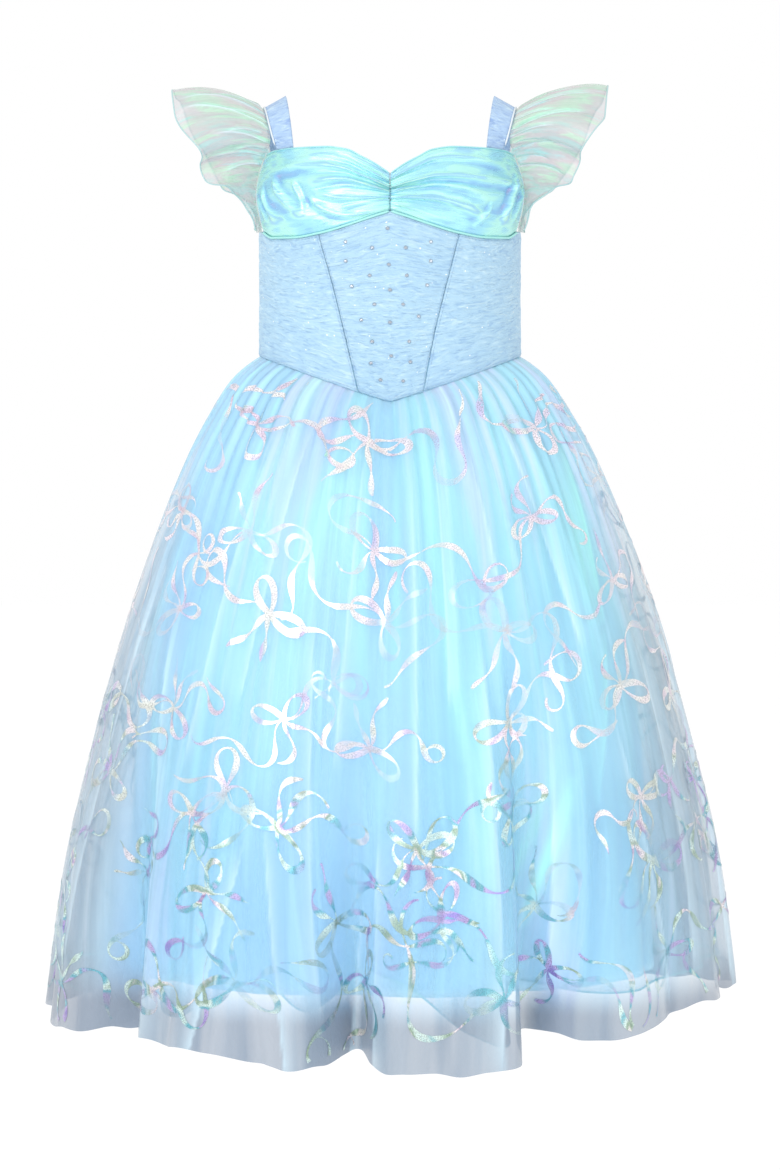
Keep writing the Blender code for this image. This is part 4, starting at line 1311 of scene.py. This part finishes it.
def stitches(name, lines, material, length=0.0022, pitch=0.0034, radius=0.00022):
    """Sewing thread: short six-sided bars at an even pitch along lines, lying on the cloth.

    Each line comes with the outward direction of the cloth beneath it.
    """
    starts = []
    for line, out in lines:
        steps = np.linalg.norm(np.diff(line, axis=0), axis=1)
        far = np.concatenate([[0.0], np.cumsum(steps)])
        at = np.arange(0.5 * pitch, far[-1] - length, pitch)
        first, last, lift = (np.stack([np.interp(at + step, far, field[:, k]) for k in range(3)], -1)
                             for step, field in ((0.0, line), (length, line), (0.0, out)))
        starts.append((first, last, lift))
    first, last, lift = (np.concatenate(part) for part in zip(*starts))
    ahead = unit(last - first)
    side = unit(np.cross(ahead, lift))
    lift = unit(np.cross(side, ahead))
    turn = np.linspace(0, 2 * np.pi, 6, endpoint=False)
    ring = side[:, None] * np.cos(turn)[None, :, None] + lift[:, None] * np.sin(turn)[None, :, None]
    points = np.stack([first[:, None] + ring * radius, last[:, None] + ring * radius], axis=1)
    index = np.arange(len(first) * 12).reshape(-1, 2, 6)
    after = np.roll(index, -1, axis=2)
    walls = np.stack([index[:, 0], after[:, 0], after[:, 1], index[:, 1]], axis=-1).reshape(-1, 4)
    faces = walls.tolist() + index[:, 0, ::-1].tolist() + index[:, 1].tolist()
    mesh = bpy.data.meshes.new(name)
    mesh.from_pydata(points.reshape(-1, 3).tolist(), [], faces)
    mesh.materials.append(material)
    piece = bpy.data.objects.new(name, mesh)
    bpy.context.scene.collection.objects.link(piece)
    return piece


def seam_line(angle, height, out=0.0002):
    """A line on the torso with its outward directions."""
    line = torso(angle, height, out)
    return line, unit(line * np.array([1.0, 1.0, 0.0]))


# Rows of stitches 1.6 mm beside the seams of the bodice, under the cups and over the waist
sewn = []
for seam, low, high in ((left_seam, -0.246, -0.116), (right_seam, -0.245, -0.117)):
    height = np.linspace(low, high, 60)
    for beside in (-1.0, 1.0):
        sewn.append(seam_line(seam(height) + beside, height))
across = np.linspace(-71.0, 71.0, 160)
sewn.append(seam_line(across, under_cup(across) - 0.0024))
around_waist = np.linspace(-89.5, 268.5, 420)
sewn.append(seam_line(around_waist, waist_height(around_waist) + 0.0022))
behind = np.linspace(122.0, 238.0, 120)
sewn.append(seam_line(behind, back_top(behind) - 0.0030))
thread = plain("blue_thread", rgb(176, 210, 240), 0.5)
dressed(stitches("bodice_stitches", sewn, thread), slot="bodice")


def stones():
    """Cut stones: an eight-sided crown and a flat table, set square on the centre panel."""
    across = np.array([s.across for s in STONES]) * 0.001
    height = np.array([s.height for s in STONES]) * 0.001
    width = curve(TORSO, "at", "half_width", height)
    angle = np.degrees(np.arcsin(across / width))
    place = torso(angle, height, 0.0002)
    out = unit(place * np.array([1.0, 1.0, 0.0]) * np.array([0.55, 1.0, 0.0]))
    up = np.tile([0.0, 0.0, 1.0], (len(place), 1))
    side = np.cross(up, out)
    turn = np.linspace(0, 2 * np.pi, 8, endpoint=False) + 0.2
    rings = []
    for radius, rise in ((0.0017, 0.0), (0.0017, 0.0004), (0.0010, 0.0011)):
        ring = side[:, None] * np.cos(turn)[None, :, None] + up[:, None] * np.sin(turn)[None, :, None]
        rings.append(place[:, None] + ring * radius + out[:, None] * rise)
    points = np.stack(rings, axis=1)
    count = len(place)
    index = np.arange(count * 24).reshape(count, 3, 8)
    after = np.roll(index, -1, axis=2)
    walls = np.stack([index[:, :-1], after[:, :-1], after[:, 1:], index[:, 1:]], axis=-1)
    faces = walls.reshape(-1, 4).tolist() + index[:, 2].tolist() + index[:, 0, ::-1].tolist()
    return points.reshape(-1, 3), faces


stone_points, stone_faces = stones()
stone_mesh = bpy.data.meshes.new("stones")
stone_mesh.from_pydata(stone_points.tolist(), [], stone_faces)
stone_mesh.materials.append(stone)
stone_piece = bpy.data.objects.new("stones", stone_mesh)
bpy.context.scene.collection.objects.link(stone_piece)
dressed(stone_piece, slot="cups")

# Light, floor and camera
floor_material = plain("pale_floor", (0.99, 0.99, 0.99), 0.8,
                       Emission_Color=(1.0, 1.0, 1.0, 1.0), Emission_Strength=0.07)
floor_size = 12.0
corners = np.array([[-1, -1, 0], [1, -1, 0], [1, 1, 0], [-1, 1, 0]]) * floor_size
corners[:, 2] = -1.25
floor = mesh_piece("floor", corners, np.array([[0, 1, 2, 3]]), floor_material)

world = bpy.data.worlds.new("studio")
bpy.context.scene.world = world
world.use_nodes = True
world.node_tree.nodes["Background"].inputs["Color"].default_value = (1.0, 1.0, 1.0, 1.0)
world.node_tree.nodes["Background"].inputs["Strength"].default_value = 1.0


def softbox(name, place, towards, size, power):
    """A large square lamp that faces a point."""
    lamp = bpy.data.lights.new(name, "AREA")
    lamp.shape = "SQUARE"
    lamp.size = size
    lamp.energy = power
    box = bpy.data.objects.new(name, lamp)
    bpy.context.scene.collection.objects.link(box)
    box.location = place
    aim = np.array(towards) - np.array(place)
    box.rotation_euler = (math.acos(-aim[2] / np.linalg.norm(aim)), 0.0,
                          math.atan2(aim[0], -aim[1]) + math.pi)
    return box


softbox("key", (-1.5, -2.6, 1.0), (0.0, 0.0, -0.4), 1.4, 38.0)
softbox("fill", (2.0, -2.4, 0.2), (0.0, 0.0, -0.4), 1.6, 12.0)

camera_data = bpy.data.cameras.new("camera")
camera_data.sensor_width = 36.0
camera_data.lens = 107.3
camera_data.clip_end = 100.0
camera = bpy.data.objects.new("camera", camera_data)
bpy.context.scene.collection.objects.link(camera)
camera.location = (0.0, -3.0, -0.224)
camera.rotation_euler = (math.radians(90.0 - 3.6), 0.0, 0.0)
bpy.context.scene.camera = camera
bpy.context.scene.view_settings.view_transform = "Standard"
